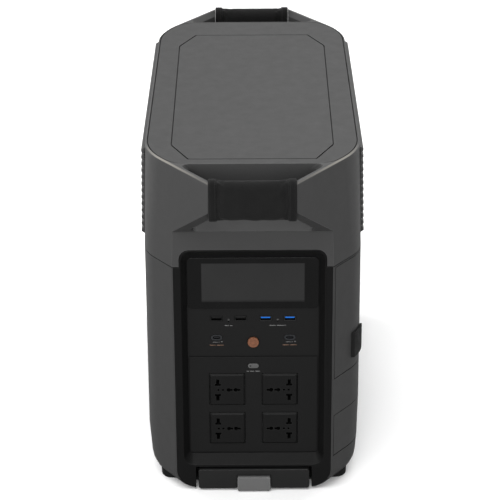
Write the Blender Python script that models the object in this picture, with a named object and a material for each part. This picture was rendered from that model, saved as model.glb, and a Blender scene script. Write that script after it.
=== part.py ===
"""Wheeled power station with grip handles, a front outlet panel, a pull-out trolley and rear wheels.

Built in metres through the MM factor, +Z up. The origin is at the middle of the footprint on the
floor, +X is to the right as the outlet panel is faced, and the outlet panel faces -Y.
"""
import math

import bmesh
import bpy
from mathutils import Matrix, Vector

MM = 0.001

# ---- Driving dimensions, in millimetres ----
LENGTH = 635.0            # over both grips
RIM_Z = 435.0             # top edge of the cap
RIM_BEVEL = 2.4           # width of the bevel along that edge
RIM_BEVEL_DROP = 4.0      # and its height
CAP_Z = 305.0             # seam between the cap and the lower body
HALF_WIDTH = 127.0        # side walls at the rim, halfway along the body
TOE = 0.008               # the side walls spread towards the front: run along X for each unit along Y
SIDE_DRAFT = 2.3          # how much further out the side walls stand at the seam and below
CORNER_DRAFT = 2.8        # and the corner walls
FACE_Y = 259.0            # front and rear faces
FACE_X = 92.3             # where a corner wall meets those faces, at the rim
SLOPE = 1.34              # corner wall: run along Y for each unit along X
SHOULDER_R = 100.0        # bend between a side wall and a corner wall, at the rim
SEAM_SHOULDER_R = 62.0    # and at the seam and below
BASE_Z = 2.2              # underside of the body
BASE_R = 24.0             # rounding of the body's lower edges
TUCK_TOP = 64.0           # height where the side walls start to lean in towards that rounding
TUCK = 5.5                # how far they lean in
BASE_LEVELS = (BASE_Z, 3.6, 7.8, 13.5, 20.0, 26.2, 40.0, TUCK_TOP)
BEYOND_X = 150.0          # clear of the body's sides, for tools that cut right through
WALL = 3.0
SEAM = 1.0                # open seam between neighbouring outer covers
LID_SEAM = 1.3            # round the lid and its inlay
GAP = 0.4                 # clearance between pieces that fit into each other

# Grips and the recess behind them
GRIP_HALF = 50.6
GRIP_LOW = 386.5
GRIP_HIGH = 437.9
GRIP_BACK = 299.0
ARM_END_Y = 315.3
ARM_THICK = 11.0
ARM_TIP = 5.5             # thickness of an arm along the rim, above an inner bevel
ARM_UNDER_IN = 351.0      # underside of an arm, at the face
ARM_UNDER_OUT = 398.7     # and at its end
RECESS_Y = 254.5
RECESS_LEVELS = (         # height, back wall and arm thickness, from the apron up to the rim
    (351.0, FACE_Y + 0.3, ARM_THICK),
    (355.0, 257.9, ARM_THICK),
    (361.0, 256.4, ARM_THICK),
    (369.0, 255.2, ARM_THICK),
    (379.0, RECESS_Y, ARM_THICK),
    (RIM_Z - 6.0, RECESS_Y, ARM_THICK),
    (RIM_Z, RECESS_Y, ARM_TIP),
    (RIM_Z + 10.0, RECESS_Y, ARM_TIP),
)
GRIP_R = 8.0              # rounding of the wrap's section
CORE_LOW = (303.5, 394.3)  # section of the bar inside, as (y, z)
CORE_HIGH = (313.0, 430.7)
CORE_R = 3.0
WRAP_FIT = 0.3            # between the bar and its wrap, and between the wrap and the arms
APRON_Z = 326.5           # lower edge of the cap over the outlet panel
LEG_X = 88.0              # inner side of the cap's short legs beside the panel
WINDOW_R = 12.0           # corners of the cap's opening over the frame, and of the frame itself
LID_Y = 252.7
LID_MARGIN = 4.0
LID_BEND = 30.0
LID_THICK = 3.9
LID_SINK = 0.1            # top of the lid below the rim
INLAY_X = 95.4
INLAY_Y = (-238.5, 200.0)
INLAY_CUT = (21.0, 44.0)  # cut-off corners: across and along the lid
INLAY_THICK = 2.2

# Front frame and panel
PANEL_Y = 249.0           # plane of the panel, behind the face
PANEL_X = 79.0
PANEL_LOW = 46.8
PANEL_HIGH = 313.0
WINDOW_X = 86.0           # the frame's opening at the face
WINDOW_LOW = 35.2
WINDOW_HIGH = 324.8
FRAME_BACK = 243.5
SHEET_Y = 248.4           # front of the panel sheet
SHEET_THICK = 3.0
SHEET_X = 84.0
SHEET_LOW = 41.5
SHEET_HIGH = 317.5
PLATE_X = 77.7            # raised plate round the outlets
PLATE_LOW = 48.7
PLATE_HIGH = 180.1
CELL_X = 62.5             # display cell behind the glass
CELL_LOW = 253.5
CELL_HIGH = 306.5
PORT_X = (-44.2, -15.0, 15.0, 44.2)
USB_A_Z = 231.4
USB_C_Z = 205.8
POWER_Z = 199.8
AC_BUTTON_Z = 168.2
GLASS_LOW = 245.7
GLASS_X = 78.5
USB_A_W = 14.4
USB_A_H = 6.6
USB_C_W = 14.0
USB_C_H = 7.6
POWER_R = 6.75
AC_BUTTON_W = 13.6
AC_BUTTON_H = 6.2
OUTLET_X = 32.1
OUTLET_Z = (135.8, 82.0)
OUTLET_W = 43.2
OUTLET_H = 42.8
PIN_SLOTS = (5.6, 14.6)   # from and to, above and below the outlet's middle
PIN_HOLES = ((10.7, 1.4), (5.1, 1.4), (-1.9, 2.5), (-10.5, 2.7))  # offset and radius

# Rear panel
AC_INLET = ((-59.6, 87.4), (-12.4, 116.6))
SOLAR_INLET = ((18.4, 89.4), (55.6, 114.6))
INLET_DEPTH = 20.0
FLAP_X = 68.0
FLAP_LOW = 67.0
FLAP_HINGE_Z = 173.5
FLAP_HINGE_R = 2.4
FLAP_THICK = 2.8
SWITCH = (-30.0, 216.0)
SWITCH_W = 9.0
SWITCH_H = 8.8
SWITCH_TRAVEL = 3.0
RESET = (30.0, 216.0)
RESET_R = 7.0

# Trolley, wheels and feet
SLOT_X = 71.5
SLOT_Z = 32.5
SLOT_BACK = 238.5
RAIL_X = 50.0
RAIL_Z = 15.0
RAIL_W = 14.0
RAIL_H = 9.0
RAIL_END = 165.0          # rear end of a rail when the trolley is pushed in
RAIL_FIT = 0.4
GUIDE_WALL = 2.0
GUIDE_Y = (-236.0, 175.0)
TROLLEY_X = 68.3
TROLLEY_Z = (2.8, 29.5)
TROLLEY_Y = (-261.5, -240.0)
LEVER_X = 20.2
LEVER_Z = (1.4, 20.4)
LEVER_Y = (-265.6, -251.0)
LEVER_TRAVEL = 4.0
WHEEL_Y = 205.0
WHEEL_R = 50.0
WHEEL_IN = 118.0
WHEEL_OUT = 142.5
AXLE_R = 5.0
AXLE_FIT = 0.1
WELL_X = 115.0
WELL_R = 56.0
AXLE_BORE_R = 5.4
FOOT_TOP = 14.0
FOOT_X = (95.0, 116.0)
FOOT_Y = (-231.5, -200.0)
FOOT_CUT_R = 14.0

# Cooling
RIB_COUNT = 13
RIB_PITCH = 8.6
RIB_LOW = 318.0
RIB_HALF_Y = 190.0
RIB_BACK_X = 124.5
RIB_VALLEY_X = 129.4      # of the lowest rib, halfway along the body
RIB_PEAK_X = 132.8
RIB_DRAFT = 2.0           # how far the top of the louvres leans in
FAN_X = 109.0
FAN_Y = 80.0
FAN_Z = 369.0
FAN_HALF = 46.0
FAN_BORE_R = 43.5
FAN_FRAME_X = (97.0, 119.0)
BLADE_COUNT = 7
BLADE_X = (102.5, 115.5)
BLADE_R = (14.0, 41.5)

# Side covers on the right-hand corner
DOOR_REAR_Y = -122.0
DOOR_Z = (153.0, 301.5)
LOWER_COVER_REAR_Y = -150.0
LOWER_COVER_Z = (46.0, 101.0)
HINGE_X = 130.3
HINGE_Y = -121.8
HINGE_Z = (175.0, 209.0)
HINGE_R = 2.0
LATCH_Y = (-227.0, -199.0)
LATCH_Z = (167.0, 200.0)
LATCH_PROUD = 3.2
COVER_THICK = 2.6
COVER_EDGE = (98.6, -255.6)   # where the covers start, beside the face
PORT_SHEET_X = (112.0, 115.0)
BATTERY_PORT_Y = -168.0
BATTERY_PORT_Z = (197.0, 255.0)

# Inside
BATTERY_LOW = (-104.0, -190.0, 24.0)
BATTERY_HIGH = (104.0, 138.0, 188.0)
STRAP_Y = (-130.0, -26.0, 78.0)
STRAP_HALF = 10.0
STRAP_Z = (60.0, 150.0)
INVERTER_LOW = (-90.0, -170.0, 200.0)
INVERTER_HIGH = (90.0, 60.0, 222.0)
FIN_COUNT = 9
FIN_PITCH = 20.0
FIN_TOP = 262.0
FIN_THICK = 3.0
BOARD_X = 76.0
BOARD_Y = -234.0
BOARD_Z = (187.0, 305.0)
BOARD_THICK = 1.6
CHIPS = ((-40.0, 290.0), (10.0, 290.0), (50.0, 275.0))
CHIP_HALF = 9.0
CHIP_THICK = 3.4


# ---- Materials ----
def make_material(name, colour, roughness, metallic=0.0):
    material = bpy.data.materials.new(name)
    material.use_nodes = True
    shader = material.node_tree.nodes["Principled BSDF"]
    shader.inputs["Base Color"].default_value = (*colour, 1.0)
    shader.inputs["Roughness"].default_value = roughness
    shader.inputs["Metallic"].default_value = metallic
    return material


def make_materials():
    return {
        "cap": make_material("cap", (0.085, 0.085, 0.088), 0.5),
        "lid": make_material("lid", (0.12, 0.12, 0.122), 0.55),
        "body": make_material("body", (0.060, 0.060, 0.062), 0.5),
        "black": make_material("black", (0.012, 0.012, 0.013), 0.4),
        "glass": make_material("glass", (0.010, 0.010, 0.011), 0.12),
        "display": make_material("display", (0.03, 0.03, 0.032), 0.3),
        "fabric": make_material("fabric", (0.014, 0.014, 0.015), 0.9),
        "rubber": make_material("rubber", (0.013, 0.013, 0.013), 0.8),
        "grey": make_material("grey", (0.21, 0.215, 0.22), 0.45),
        "copper": make_material("copper", (0.40, 0.17, 0.09), 0.35, 0.8),
        "steel": make_material("steel", (0.45, 0.45, 0.46), 0.35, 1.0),
        "aluminium": make_material("aluminium", (0.55, 0.56, 0.57), 0.4, 1.0),
        "board": make_material("board", (0.02, 0.09, 0.04), 0.5),
        "blue": make_material("blue", (0.02, 0.10, 0.42), 0.4),
    }


# ---- Mesh helpers ----
def add_object(name, bm, material=None):
    bmesh.ops.recalc_face_normals(bm, faces=bm.faces)
    mesh = bpy.data.meshes.new(name)
    bm.to_mesh(mesh)
    bm.free()
    if material is not None:
        mesh.materials.append(material)
    thing = bpy.data.objects.new(name, mesh)
    bpy.context.scene.collection.objects.link(thing)
    return thing


def loft(name, rings, material=None):
    """Close a solid through rings of points that all have the same number of points."""
    bm = bmesh.new()
    rows = [[bm.verts.new(Vector(point) * MM) for point in ring] for ring in rings]
    for lower, upper in zip(rows, rows[1:]):
        for i in range(len(lower)):
            j = (i + 1) % len(lower)
            bm.faces.new((lower[i], lower[j], upper[j], upper[i]))
    bm.faces.new(rows[0][::-1])
    bm.faces.new(rows[-1])
    return add_object(name, bm, material)


def prism_z(name, outline, low, high, material=None):
    """Extrude an (x, y) outline between two heights."""
    return loft(name, [[(x, y, z) for x, y in outline] for z in (low, high)], material)


def prism_y(name, outline, near, far, material=None):
    """Extrude an (x, z) outline between two Y planes."""
    return loft(name, [[(x, y, z) for x, z in outline] for y in (near, far)], material)


def prism_x(name, outline, left, right, material=None):
    """Extrude a (y, z) outline between two X planes."""
    return loft(name, [[(x, y, z) for y, z in outline] for x in (left, right)], material)


def box(name, low, high, material=None):
    corners = [(low[0], low[1]), (high[0], low[1]), (high[0], high[1]), (low[0], high[1])]
    return prism_z(name, corners, low[2], high[2], material)


def circle(centre, radius, segments):
    turn = math.tau / segments
    return [
        (centre[0] + radius * math.cos(i * turn), centre[1] + radius * math.sin(i * turn))
        for i in range(segments)
    ]


def pill(centre, width, height, steps):
    """Outline of a slot with round ends."""
    radius = height / 2
    half = width / 2 - radius
    right = [
        (centre[0] + half + radius * math.cos(a), centre[1] + radius * math.sin(a))
        for a in (math.pi * (i / steps - 0.5) for i in range(steps + 1))
    ]
    left = [(2 * centre[0] - u, 2 * centre[1] - v) for u, v in right]
    return right + left


def rounded(corners, radii, steps):
    """Replace each corner of a closed outline by an arc of the radius given for it."""
    outline = []
    for i, (corner, radius) in enumerate(zip(corners, radii)):
        here = Vector(corner)
        back = (Vector(corners[i - 1]) - here).normalized()
        ahead = (Vector(corners[(i + 1) % len(corners)]) - here).normalized()
        half_angle = back.angle(ahead) / 2
        if radius <= 0:
            outline.append(tuple(here))
            continue
        centre = here + (back + ahead).normalized() * (radius / math.sin(half_angle))
        start = here + back * (radius / math.tan(half_angle)) - centre
        end = here + ahead * (radius / math.tan(half_angle)) - centre
        sweep = start.angle_signed(end)
        for step in range(steps + 1):
            turned = Matrix.Rotation(-sweep * step / steps, 2) @ start
            outline.append(tuple(centre + turned))
    return outline


def rounded_box(low, high, radius, steps=3):
    """Outline of a rectangle with equal rounded corners."""
    corners = [(low[0], low[1]), (high[0], low[1]), (high[0], high[1]), (low[0], high[1])]
    return rounded(corners, [radius] * 4, steps)


def turned(name, profile, segments, centre, material=None):
    """Spin a closed (x, radius) profile about the X direction through a centre."""
    bm = bmesh.new()
    turn = math.tau / segments
    rows = []
    for i in range(segments):
        cosine = math.cos(i * turn)
        sine = math.sin(i * turn)
        row = []
        for x, radius in profile:
            point = (x, centre[0] + radius * cosine, centre[1] + radius * sine)
            row.append(bm.verts.new(Vector(point) * MM))
        rows.append(row)
    for i in range(segments):
        here = rows[i]
        ahead = rows[(i + 1) % segments]
        for j in range(len(profile)):
            k = (j + 1) % len(profile)
            if profile[j][1] > 0 or profile[k][1] > 0:
                bm.faces.new((here[j], here[k], ahead[k], ahead[j]))
    bmesh.ops.remove_doubles(bm, verts=bm.verts, dist=0.00001)
    return add_object(name, bm, material)


def use(target, tool, operation):
    """Keep a Boolean on the target and hide its tool."""
    modifier = target.modifiers.new(tool.name, "BOOLEAN")
    modifier.operation = operation
    modifier.solver = "EXACT"
    modifier.object = tool
    tool.hide_render = True
    tool.display_type = "WIRE"


def cut(target, *tools):
    for tool in tools:
        use(target, tool, "DIFFERENCE")


def join(target, *tools):
    for tool in tools:
        use(target, tool, "UNION")


def keep_inside(target, tool):
    use(target, tool, "INTERSECT")


def smooth(thing, angle=40.0):
    thing.data.shade_smooth()
    thing.data.set_sharp_from_angle(angle=math.radians(angle))


# ---- The body's plan ----
def lean():
    """Shift along X for each unit that a corner wall moves outwards."""
    return math.hypot(1.0, SLOPE) / SLOPE


def base_inset(z):
    """How far the rounded lower edges draw the walls in at a height."""
    rise = BASE_R - (z - BASE_Z)
    if rise <= 0:
        return 0.0
    return BASE_R - math.sqrt(max(0.0, BASE_R ** 2 - rise ** 2))


def draft_share(z):
    """0 at the rim, 1 at the seam and below."""
    return min(1.0, max(0.0, (RIM_Z - z) / (RIM_Z - CAP_Z)))


def walls(z, inset):
    """X of the side wall, and of the corner wall where it meets the face, at a height."""
    drawn_in = inset + base_inset(z)
    tuck = TUCK * max(0.0, 1.0 - z / TUCK_TOP)
    side = HALF_WIDTH + SIDE_DRAFT * draft_share(z) - drawn_in - tuck
    corner = FACE_X + (CORNER_DRAFT * draft_share(z) - drawn_in) * lean()
    return side, corner


def plan(z, inset, face, end_radius=3.0, steps=6):
    """Outline of the body at a height: side walls, sloping corner walls and flat ends at +-face."""
    side, corner = walls(z, inset)
    reach = FACE_Y + SLOPE * (corner - side)
    front = reach / (1.0 + SLOPE * TOE)
    rear = reach / (1.0 - SLOPE * TOE)
    end = corner - (face - FACE_Y) / SLOPE
    bend = SHOULDER_R + (SEAM_SHOULDER_R - SHOULDER_R) * draft_share(z) - inset
    right = [(end, -face), (side + TOE * front, -front), (side - TOE * rear, rear), (end, face)]
    corners = right + [(-x, y) for x, y in reversed(right)]
    return rounded(corners, [end_radius, bend, bend, end_radius] * 2, steps)


def body_solid(name, heights, inset, face, material=None):
    """The body's outer form between the given heights, drawn in by an inset."""
    rings = [[(x, y, z) for x, y in plan(z, inset, face)] for z in heights]
    return loft(name, rings, material)


# ---- Cap and lid ----
def arm_shadow(sign):
    """Space under the arms, in front of the face."""
    slope = (ARM_UNDER_OUT - ARM_UNDER_IN) / (ARM_END_Y - FACE_Y)
    far = ARM_END_Y + 40
    outline = [
        (sign * far, CAP_Z - 20),
        (sign * FACE_Y, CAP_Z - 20),
        (sign * FACE_Y, ARM_UNDER_IN),
        (sign * far, ARM_UNDER_IN + slope * (far - FACE_Y)),
    ]
    return prism_x(f"arm_shadow_{sign}", outline, -BEYOND_X, BEYOND_X)


def hand_recess(sign):
    """Finger space between the arms, whose back wall runs out to the apron below."""
    side = GRIP_HALF + WRAP_FIT
    rings = []
    for z, wall, thick in RECESS_LEVELS:
        inner = FACE_X - thick * lean()
        arm_y = FACE_Y + SLOPE * (inner - side)
        corners = [
            (inner - (wall - FACE_Y) / SLOPE, sign * wall),
            (side, sign * arm_y),
            (side, sign * (ARM_END_Y + 20)),
        ]
        corners += [(-x, y) for x, y in reversed(corners)]
        rings.append([(x, y, z) for x, y in rounded(corners, [7, 0, 0, 0, 0, 7], 3)])
    return loft(f"hand_recess_{sign}", rings)


def make_cap(mats):
    rings = []
    for z, inset in (
        (CAP_Z, 0.0),
        (345, 0.0),
        (390, 0.0),
        (RIM_Z - RIM_BEVEL_DROP, 0.0),
        (RIM_Z - RIM_BEVEL_DROP * 0.4, RIM_BEVEL * 0.25),
        (RIM_Z, RIM_BEVEL),
    ):
        rings.append([(x, y, z) for x, y in plan(z, inset, ARM_END_Y)])
    cap = loft("top_cap", rings, mats["cap"])
    for sign in (-1, 1):
        cut(cap, arm_shadow(sign), hand_recess(sign))
    cavity = body_solid("cap_cavity", (CAP_Z - 10, 365, RIM_Z - 9), WALL, RECESS_Y - 3.5)
    seat = plan(RIM_Z, LID_MARGIN - LID_SEAM, LID_Y + GAP, LID_BEND)
    lid_seat = prism_z("lid_seat", seat, RIM_Z - LID_SINK - LID_THICK - 0.3, RIM_Z + 9)
    opening = prism_z("lid_opening", plan(RIM_Z, 16, 238, 12.0), RIM_Z - 20, RIM_Z)
    window = rounded_box((-LEG_X, CAP_Z - 60), (LEG_X, APRON_Z + GAP), WINDOW_R, 4)
    panel_space = prism_y("cap_panel_space", window, -FACE_Y - 20, FACE_Y + 20)
    cut(cap, cavity, lid_seat, opening, panel_space)
    for sign in (-1, 1):
        low = (sign * 112, -RIB_HALF_Y, RIB_LOW)
        high = (sign * BEYOND_X, RIB_HALF_Y, RIB_LOW + RIB_COUNT * RIB_PITCH)
        low, high = sorted_box(low, high)
        cut(cap, box(f"louvre_space_{sign}", low, high))
    smooth(cap)


def sorted_box(low, high):
    """Order two opposite corners so that the first is the lower one on every axis."""
    pairs = [sorted(pair) for pair in zip(low, high)]
    return tuple(p[0] for p in pairs), tuple(p[1] for p in pairs)


def make_lid(mats):
    top = RIM_Z - LID_SINK
    outline = plan(RIM_Z, LID_MARGIN, LID_Y, LID_BEND)
    lid = prism_z("lid_panel", outline, top - LID_THICK, top, mats["lid"])
    cut(lid, prism_z("inlay_seat", inlay_outline(LID_SEAM), top - INLAY_THICK - 0.3, top + 2))
    prism_z("lid_inlay", inlay_outline(0.0), top - INLAY_THICK, top, mats["lid"])
    smooth(lid, 30)


def inlay_outline(grow):
    """Plate with cut corners let into the lid, set nearer to its front end."""
    half = INLAY_X + grow
    front = INLAY_Y[0] - grow
    rear = INLAY_Y[1] + grow
    across, along = INLAY_CUT
    corners = [
        (half - across, front),
        (half, front + along),
        (half, rear - along),
        (half - across, rear),
    ]
    corners += [(-x, y) for x, y in reversed(corners)]
    return rounded(corners, [2, 10, 10, 2] * 2, 3)


def make_louvres(mats):
    """Ribbed plates let into both sides of the cap."""
    half_y = RIB_HALF_Y - 0.3
    for name, sign in (("louvre_left", -1), ("louvre_right", 1)):
        outline = [(RIB_BACK_X, RIB_LOW + 0.3)]
        for i in range(RIB_COUNT):
            low = RIB_LOW + 0.3 + i * RIB_PITCH
            lean_in = RIB_DRAFT * i / (RIB_COUNT - 1)
            for share, x in ((0.0, RIB_VALLEY_X), (0.3, RIB_PEAK_X), (0.7, RIB_PEAK_X)):
                outline.append((x - lean_in, low + share * RIB_PITCH))
        top = RIB_LOW + RIB_COUNT * RIB_PITCH - 0.3
        outline += [(RIB_VALLEY_X - RIB_DRAFT, top), (RIB_BACK_X, top)]
        rings = [[(sign * (x - TOE * y), y, z) for x, z in outline] for y in (-half_y, half_y)]
        loft(name, rings, mats["cap"])


def make_grips(mats):
    """A moulded bar between the arms, wrapped in fabric."""
    for name, sign in (("front_grip", -1), ("rear_grip", 1)):
        outer = rounded_box((GRIP_BACK, GRIP_LOW), (LENGTH / 2, GRIP_HIGH), GRIP_R, 4)
        core = rounded_box(CORE_LOW, CORE_HIGH, CORE_R, 2)
        inner_low = tuple(c - WRAP_FIT for c in CORE_LOW)
        inner_high = tuple(c + WRAP_FIT for c in CORE_HIGH)
        inner = rounded_box(inner_low, inner_high, CORE_R + WRAP_FIT, 2)
        section = [(sign * y, z) for y, z in outer]
        wrap = prism_x(f"{name}_wrap", section, -GRIP_HALF, GRIP_HALF, mats["fabric"])
        hole = [(sign * y, z) for y, z in inner]
        cut(wrap, prism_x(f"{name}_hole", hole, -GRIP_HALF - 5, GRIP_HALF + 5))
        bar = [(sign * y, z) for y, z in core]
        prism_x(f"{name}_core", bar, -GRIP_HALF, GRIP_HALF, mats["black"])
        smooth(wrap)


# ---- Lower body ----
def face_outline(inset, head_x, top, shoulder_z):
    """Front outline of the body's end: narrow at the base, with a narrower head above a step."""
    right = [(walls(z, 0)[1] - inset, z) for z in BASE_LEVELS]
    right.append((walls(CAP_Z, 0)[1] - inset, shoulder_z))
    right.append((head_x, shoulder_z))
    right += [(head_x - r, top - WINDOW_R + s) for r, s in quarter_arc(WINDOW_R, 4)]
    return right + [(-x, z) for x, z in reversed(right)]


def quarter_arc(radius, steps):
    """Steps of a round corner as (inward, upward) offsets from its lower end."""
    angles = [math.pi / 2 * i / steps for i in range(steps + 1)]
    return [(radius * (1 - math.cos(a)), radius * math.sin(a)) for a in angles]


def end_space(sign):
    """Opening for a frame in the lower body's end."""
    outline = face_outline(0.8, LEG_X, APRON_Z + 30, CAP_Z + 20)
    near = sign * (FRAME_BACK - 0.5)
    far = sign * (FACE_Y + 20)
    outline = [(x, z - 8 if z <= BASE_Z else z) for x, z in outline]
    return prism_y(f"end_space_{sign}", outline, near, far)


def well(name, sign, radius, inner, outer):
    """Round space about the wheel axis."""
    profile = [(sign * inner, 0), (sign * inner, radius), (sign * outer, radius), (sign * outer, 0)]
    return turned(name, profile, 28, (WHEEL_Y, WHEEL_R))


def base_region(name, lift):
    """Everything below the seam of the base tray, which dips at the front corners."""
    outline = [(-400, -20), (400, -20), (400, 43 + lift), (-204, 43 + lift)]
    outline += [(-210, 41 + lift), (-218, 34 + lift), (-232, 18 + lift), (-238, 13 + lift), (-400, 13 + lift)]
    return prism_x(name, outline, -200, 200)


def foot_outline(sign, grow):
    """Plan of a foot, cut round at its outer front corner."""
    low = (FOOT_X[0] - grow, FOOT_Y[0] - grow)
    high = (FOOT_X[1] + grow, FOOT_Y[1] + grow)
    corners = [low, (high[0], low[1]), high, (low[0], high[1])]
    return [(sign * x, y) for x, y in rounded(corners, [2.0, FOOT_CUT_R + grow, 2.0, 2.0], 4)]


def foot_space(sign):
    """Notch in the body for a foot."""
    return prism_z(f"foot_space_{sign}", foot_outline(sign, GAP), -5, FOOT_TOP + GAP)


def cover_region(name, rear_y, heights, gap):
    """Block that takes in the right-hand front corner from near the face back to rear_y."""
    steep = math.hypot(1.0, SLOPE)
    normal = Vector((SLOPE / steep, -1.0 / steep))
    along = Vector((-1.0 / steep, -SLOPE / steep))
    edge = Vector(COVER_EDGE) + along * gap
    inner = edge - normal * 9
    outer = edge + normal * 20
    outline = [tuple(inner), tuple(outer), (170, -290), (170, rear_y + gap), (105, rear_y + gap)]
    return prism_z(name, outline, heights[0] - gap, heights[1] + gap)


def cover_seat(name, rear_y, heights):
    """Space for a cover in the corner wall, no deeper than the wall."""
    region = cover_region(name, rear_y, heights, SEAM)
    core = body_solid(f"{name}_core", (heights[0] - 20, heights[1] + 20), WALL + 0.3, FACE_Y - 1)
    cut(region, core)
    return region


def shell_cavity(name):
    """Inside of the lower body, which leaves solid blocks for the wheel wells."""
    heights = (BASE_Z + 2.6,) + BASE_LEVELS[2:] + (CAP_Z + 10,)
    cavity = body_solid(name, heights, WALL, FRAME_BACK - 0.5)
    for sign in (-1, 1):
        low, high = sorted_box((sign * (WELL_X - 3), 142, -20), (sign * 160, 300, 112))
        cut(cavity, box(f"{name}_block_{sign}", low, high))
    return cavity


def make_lower_shell(mats):
    heights = BASE_LEVELS + (CAP_Z - SEAM,)
    shell = body_solid("lower_shell", heights, 0.0, FACE_Y - 0.4, mats["body"])
    cut(shell, shell_cavity("shell_cavity"), base_region("base_gap", SEAM))
    for sign in (-1, 1):
        beam = body_solid(f"cross_beam_{sign}", (291, 304), 1.0, FACE_Y - 3)
        low, high = sorted_box((-150, sign * 221, 270), (150, sign * 228, 310))
        keep_inside(beam, box(f"beam_region_{sign}", low, high))
        join(shell, beam)
    for sign in (-1, 1):
        cut(shell, end_space(sign), well(f"shell_well_{sign}", sign, WELL_R, WELL_X, BEYOND_X))
        cut(shell, foot_space(sign))
    cut(shell, cover_seat("door_seat", DOOR_REAR_Y, DOOR_Z))
    cut(shell, cover_seat("lower_cover_seat", LOWER_COVER_REAR_Y, LOWER_COVER_Z))
    smooth(shell)


def make_base_tray(mats):
    tray = body_solid("base_tray", BASE_LEVELS, 0.0, FACE_Y - 0.4, mats["body"])
    cut(tray, shell_cavity("tray_cavity"))
    keep_inside(tray, base_region("base_part", 0.0))
    slot = box("tray_slot", (-SLOT_X, -300, -10), (SLOT_X, -SLOT_BACK, SLOT_Z))
    cut(tray, slot)
    for sign in (-1, 1):
        cut(tray, end_space(sign), well(f"tray_well_{sign}", sign, WELL_R, WELL_X, BEYOND_X))
        cut(tray, foot_space(sign))
    cut(tray, cover_seat("tray_cover_seat", LOWER_COVER_REAR_Y, LOWER_COVER_Z))
    profile = [(-BEYOND_X, 0), (-BEYOND_X, AXLE_BORE_R), (BEYOND_X, AXLE_BORE_R), (BEYOND_X, 0)]
    bore = turned("tray_axle_bore", profile, 24, (WHEEL_Y, WHEEL_R))
    cut(tray, bore)
    cut(bpy.data.objects["lower_shell"], bore)
    smooth(tray)


def make_corner_covers(mats):
    """Door and lower cover on the right-hand front corner, with the door's pull and hinge barrel."""
    for name, rear_y, heights in (
        ("side_door", DOOR_REAR_Y, DOOR_Z),
        ("side_lower_cover", LOWER_COVER_REAR_Y, LOWER_COVER_Z),
    ):
        cover = body_solid(name, (heights[0], heights[1]), 0.0, FACE_Y + 4, mats["body"])
        keep_inside(cover, cover_region(f"{name}_region", rear_y, heights, 0.0))
        cut(cover, body_solid(f"{name}_inside", (heights[0] - 9, heights[1] + 9), COVER_THICK, FACE_Y + 4))
        smooth(cover)
    latch = body_solid("side_door_latch", LATCH_Z, -LATCH_PROUD, FACE_Y + 20, mats["rubber"])
    keep_inside(latch, box("latch_region", (100, LATCH_Y[0], 150), (BEYOND_X, LATCH_Y[1], 220)))
    cut(latch, body_solid("latch_inside", (150, 220), -0.3, FACE_Y + 30))
    smooth(latch)
    make_hinge(mats)


def make_hinge(mats):
    """Fixed barrel in the rear edge of the door, with its leaf on the wall behind."""
    axis = (HINGE_X, HINGE_Y)
    barrel = prism_z("side_door_hinge", circle(axis, HINGE_R, 16), *HINGE_Z, mats["rubber"])
    low = (HINGE_X + 0.3, HINGE_Y + 0.6, HINGE_Z[0])
    leaf = box("hinge_leaf", low, (HINGE_X + HINGE_R - 0.4, HINGE_Y + 12, HINGE_Z[1]))
    join(barrel, leaf)
    notch = prism_z("hinge_notch", circle(axis, HINGE_R + 0.5, 16), HINGE_Z[0] - 0.5, HINGE_Z[1] + 0.5)
    cut(bpy.data.objects["side_door"], notch)
    cut(bpy.data.objects["lower_shell"], notch)
    smooth(barrel)


def make_port_panel(mats):
    """Sheet behind the door with two round battery connectors."""
    back, front = PORT_SHEET_X
    sheet = box("side_port_panel", (back, -214, 155), (front, -125, 299), mats["black"])
    profile = [
        (back + 1, 0), (back + 1, 17), (front + 4, 17), (front + 4, 12), (front + 1.4, 12), (front + 1.4, 0),
    ]
    for i, z in enumerate(BATTERY_PORT_Z):
        join(sheet, turned(f"battery_port_{i}", profile, 20, (BATTERY_PORT_Y, z)))
    smooth(sheet)


# ---- Ends ----
def make_frame(name, sign, mats, slot=None):
    outline = face_outline(1.2, LEG_X - GAP, APRON_Z - 0.1, CAP_Z - 1.0)
    frame = prism_y(name, outline, sign * FACE_Y, sign * FRAME_BACK, mats["black"])
    front = rounded_box((-WINDOW_X, WINDOW_LOW), (WINDOW_X, WINDOW_HIGH), 12.0, 3)
    back = rounded_box((-PANEL_X, PANEL_LOW), (PANEL_X, PANEL_HIGH), 5.0, 3)
    run = (WINDOW_X - PANEL_X) / (FACE_Y - PANEL_Y)
    rings = []
    for y, step in ((FACE_Y + 3, -3 * run), (FACE_Y, 0)):
        ring = [(x * (1 - step / WINDOW_X), sign * y, z) for x, z in front]
        rings.append(ring)
    rings.append([(x, sign * PANEL_Y, z) for x, z in back])
    rings.append([(x, sign * (FRAME_BACK - 5), z) for x, z in back])
    cut(frame, loft(f"{name}_window", rings))
    low, high = sorted_box((-84.5, sign * PANEL_Y, 41), (84.5, sign * (FRAME_BACK - 5), 318))
    cut(frame, box(f"{name}_rebate", low, high))
    if slot is not None:
        cut(frame, slot)
    smooth(frame, 30)


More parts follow.
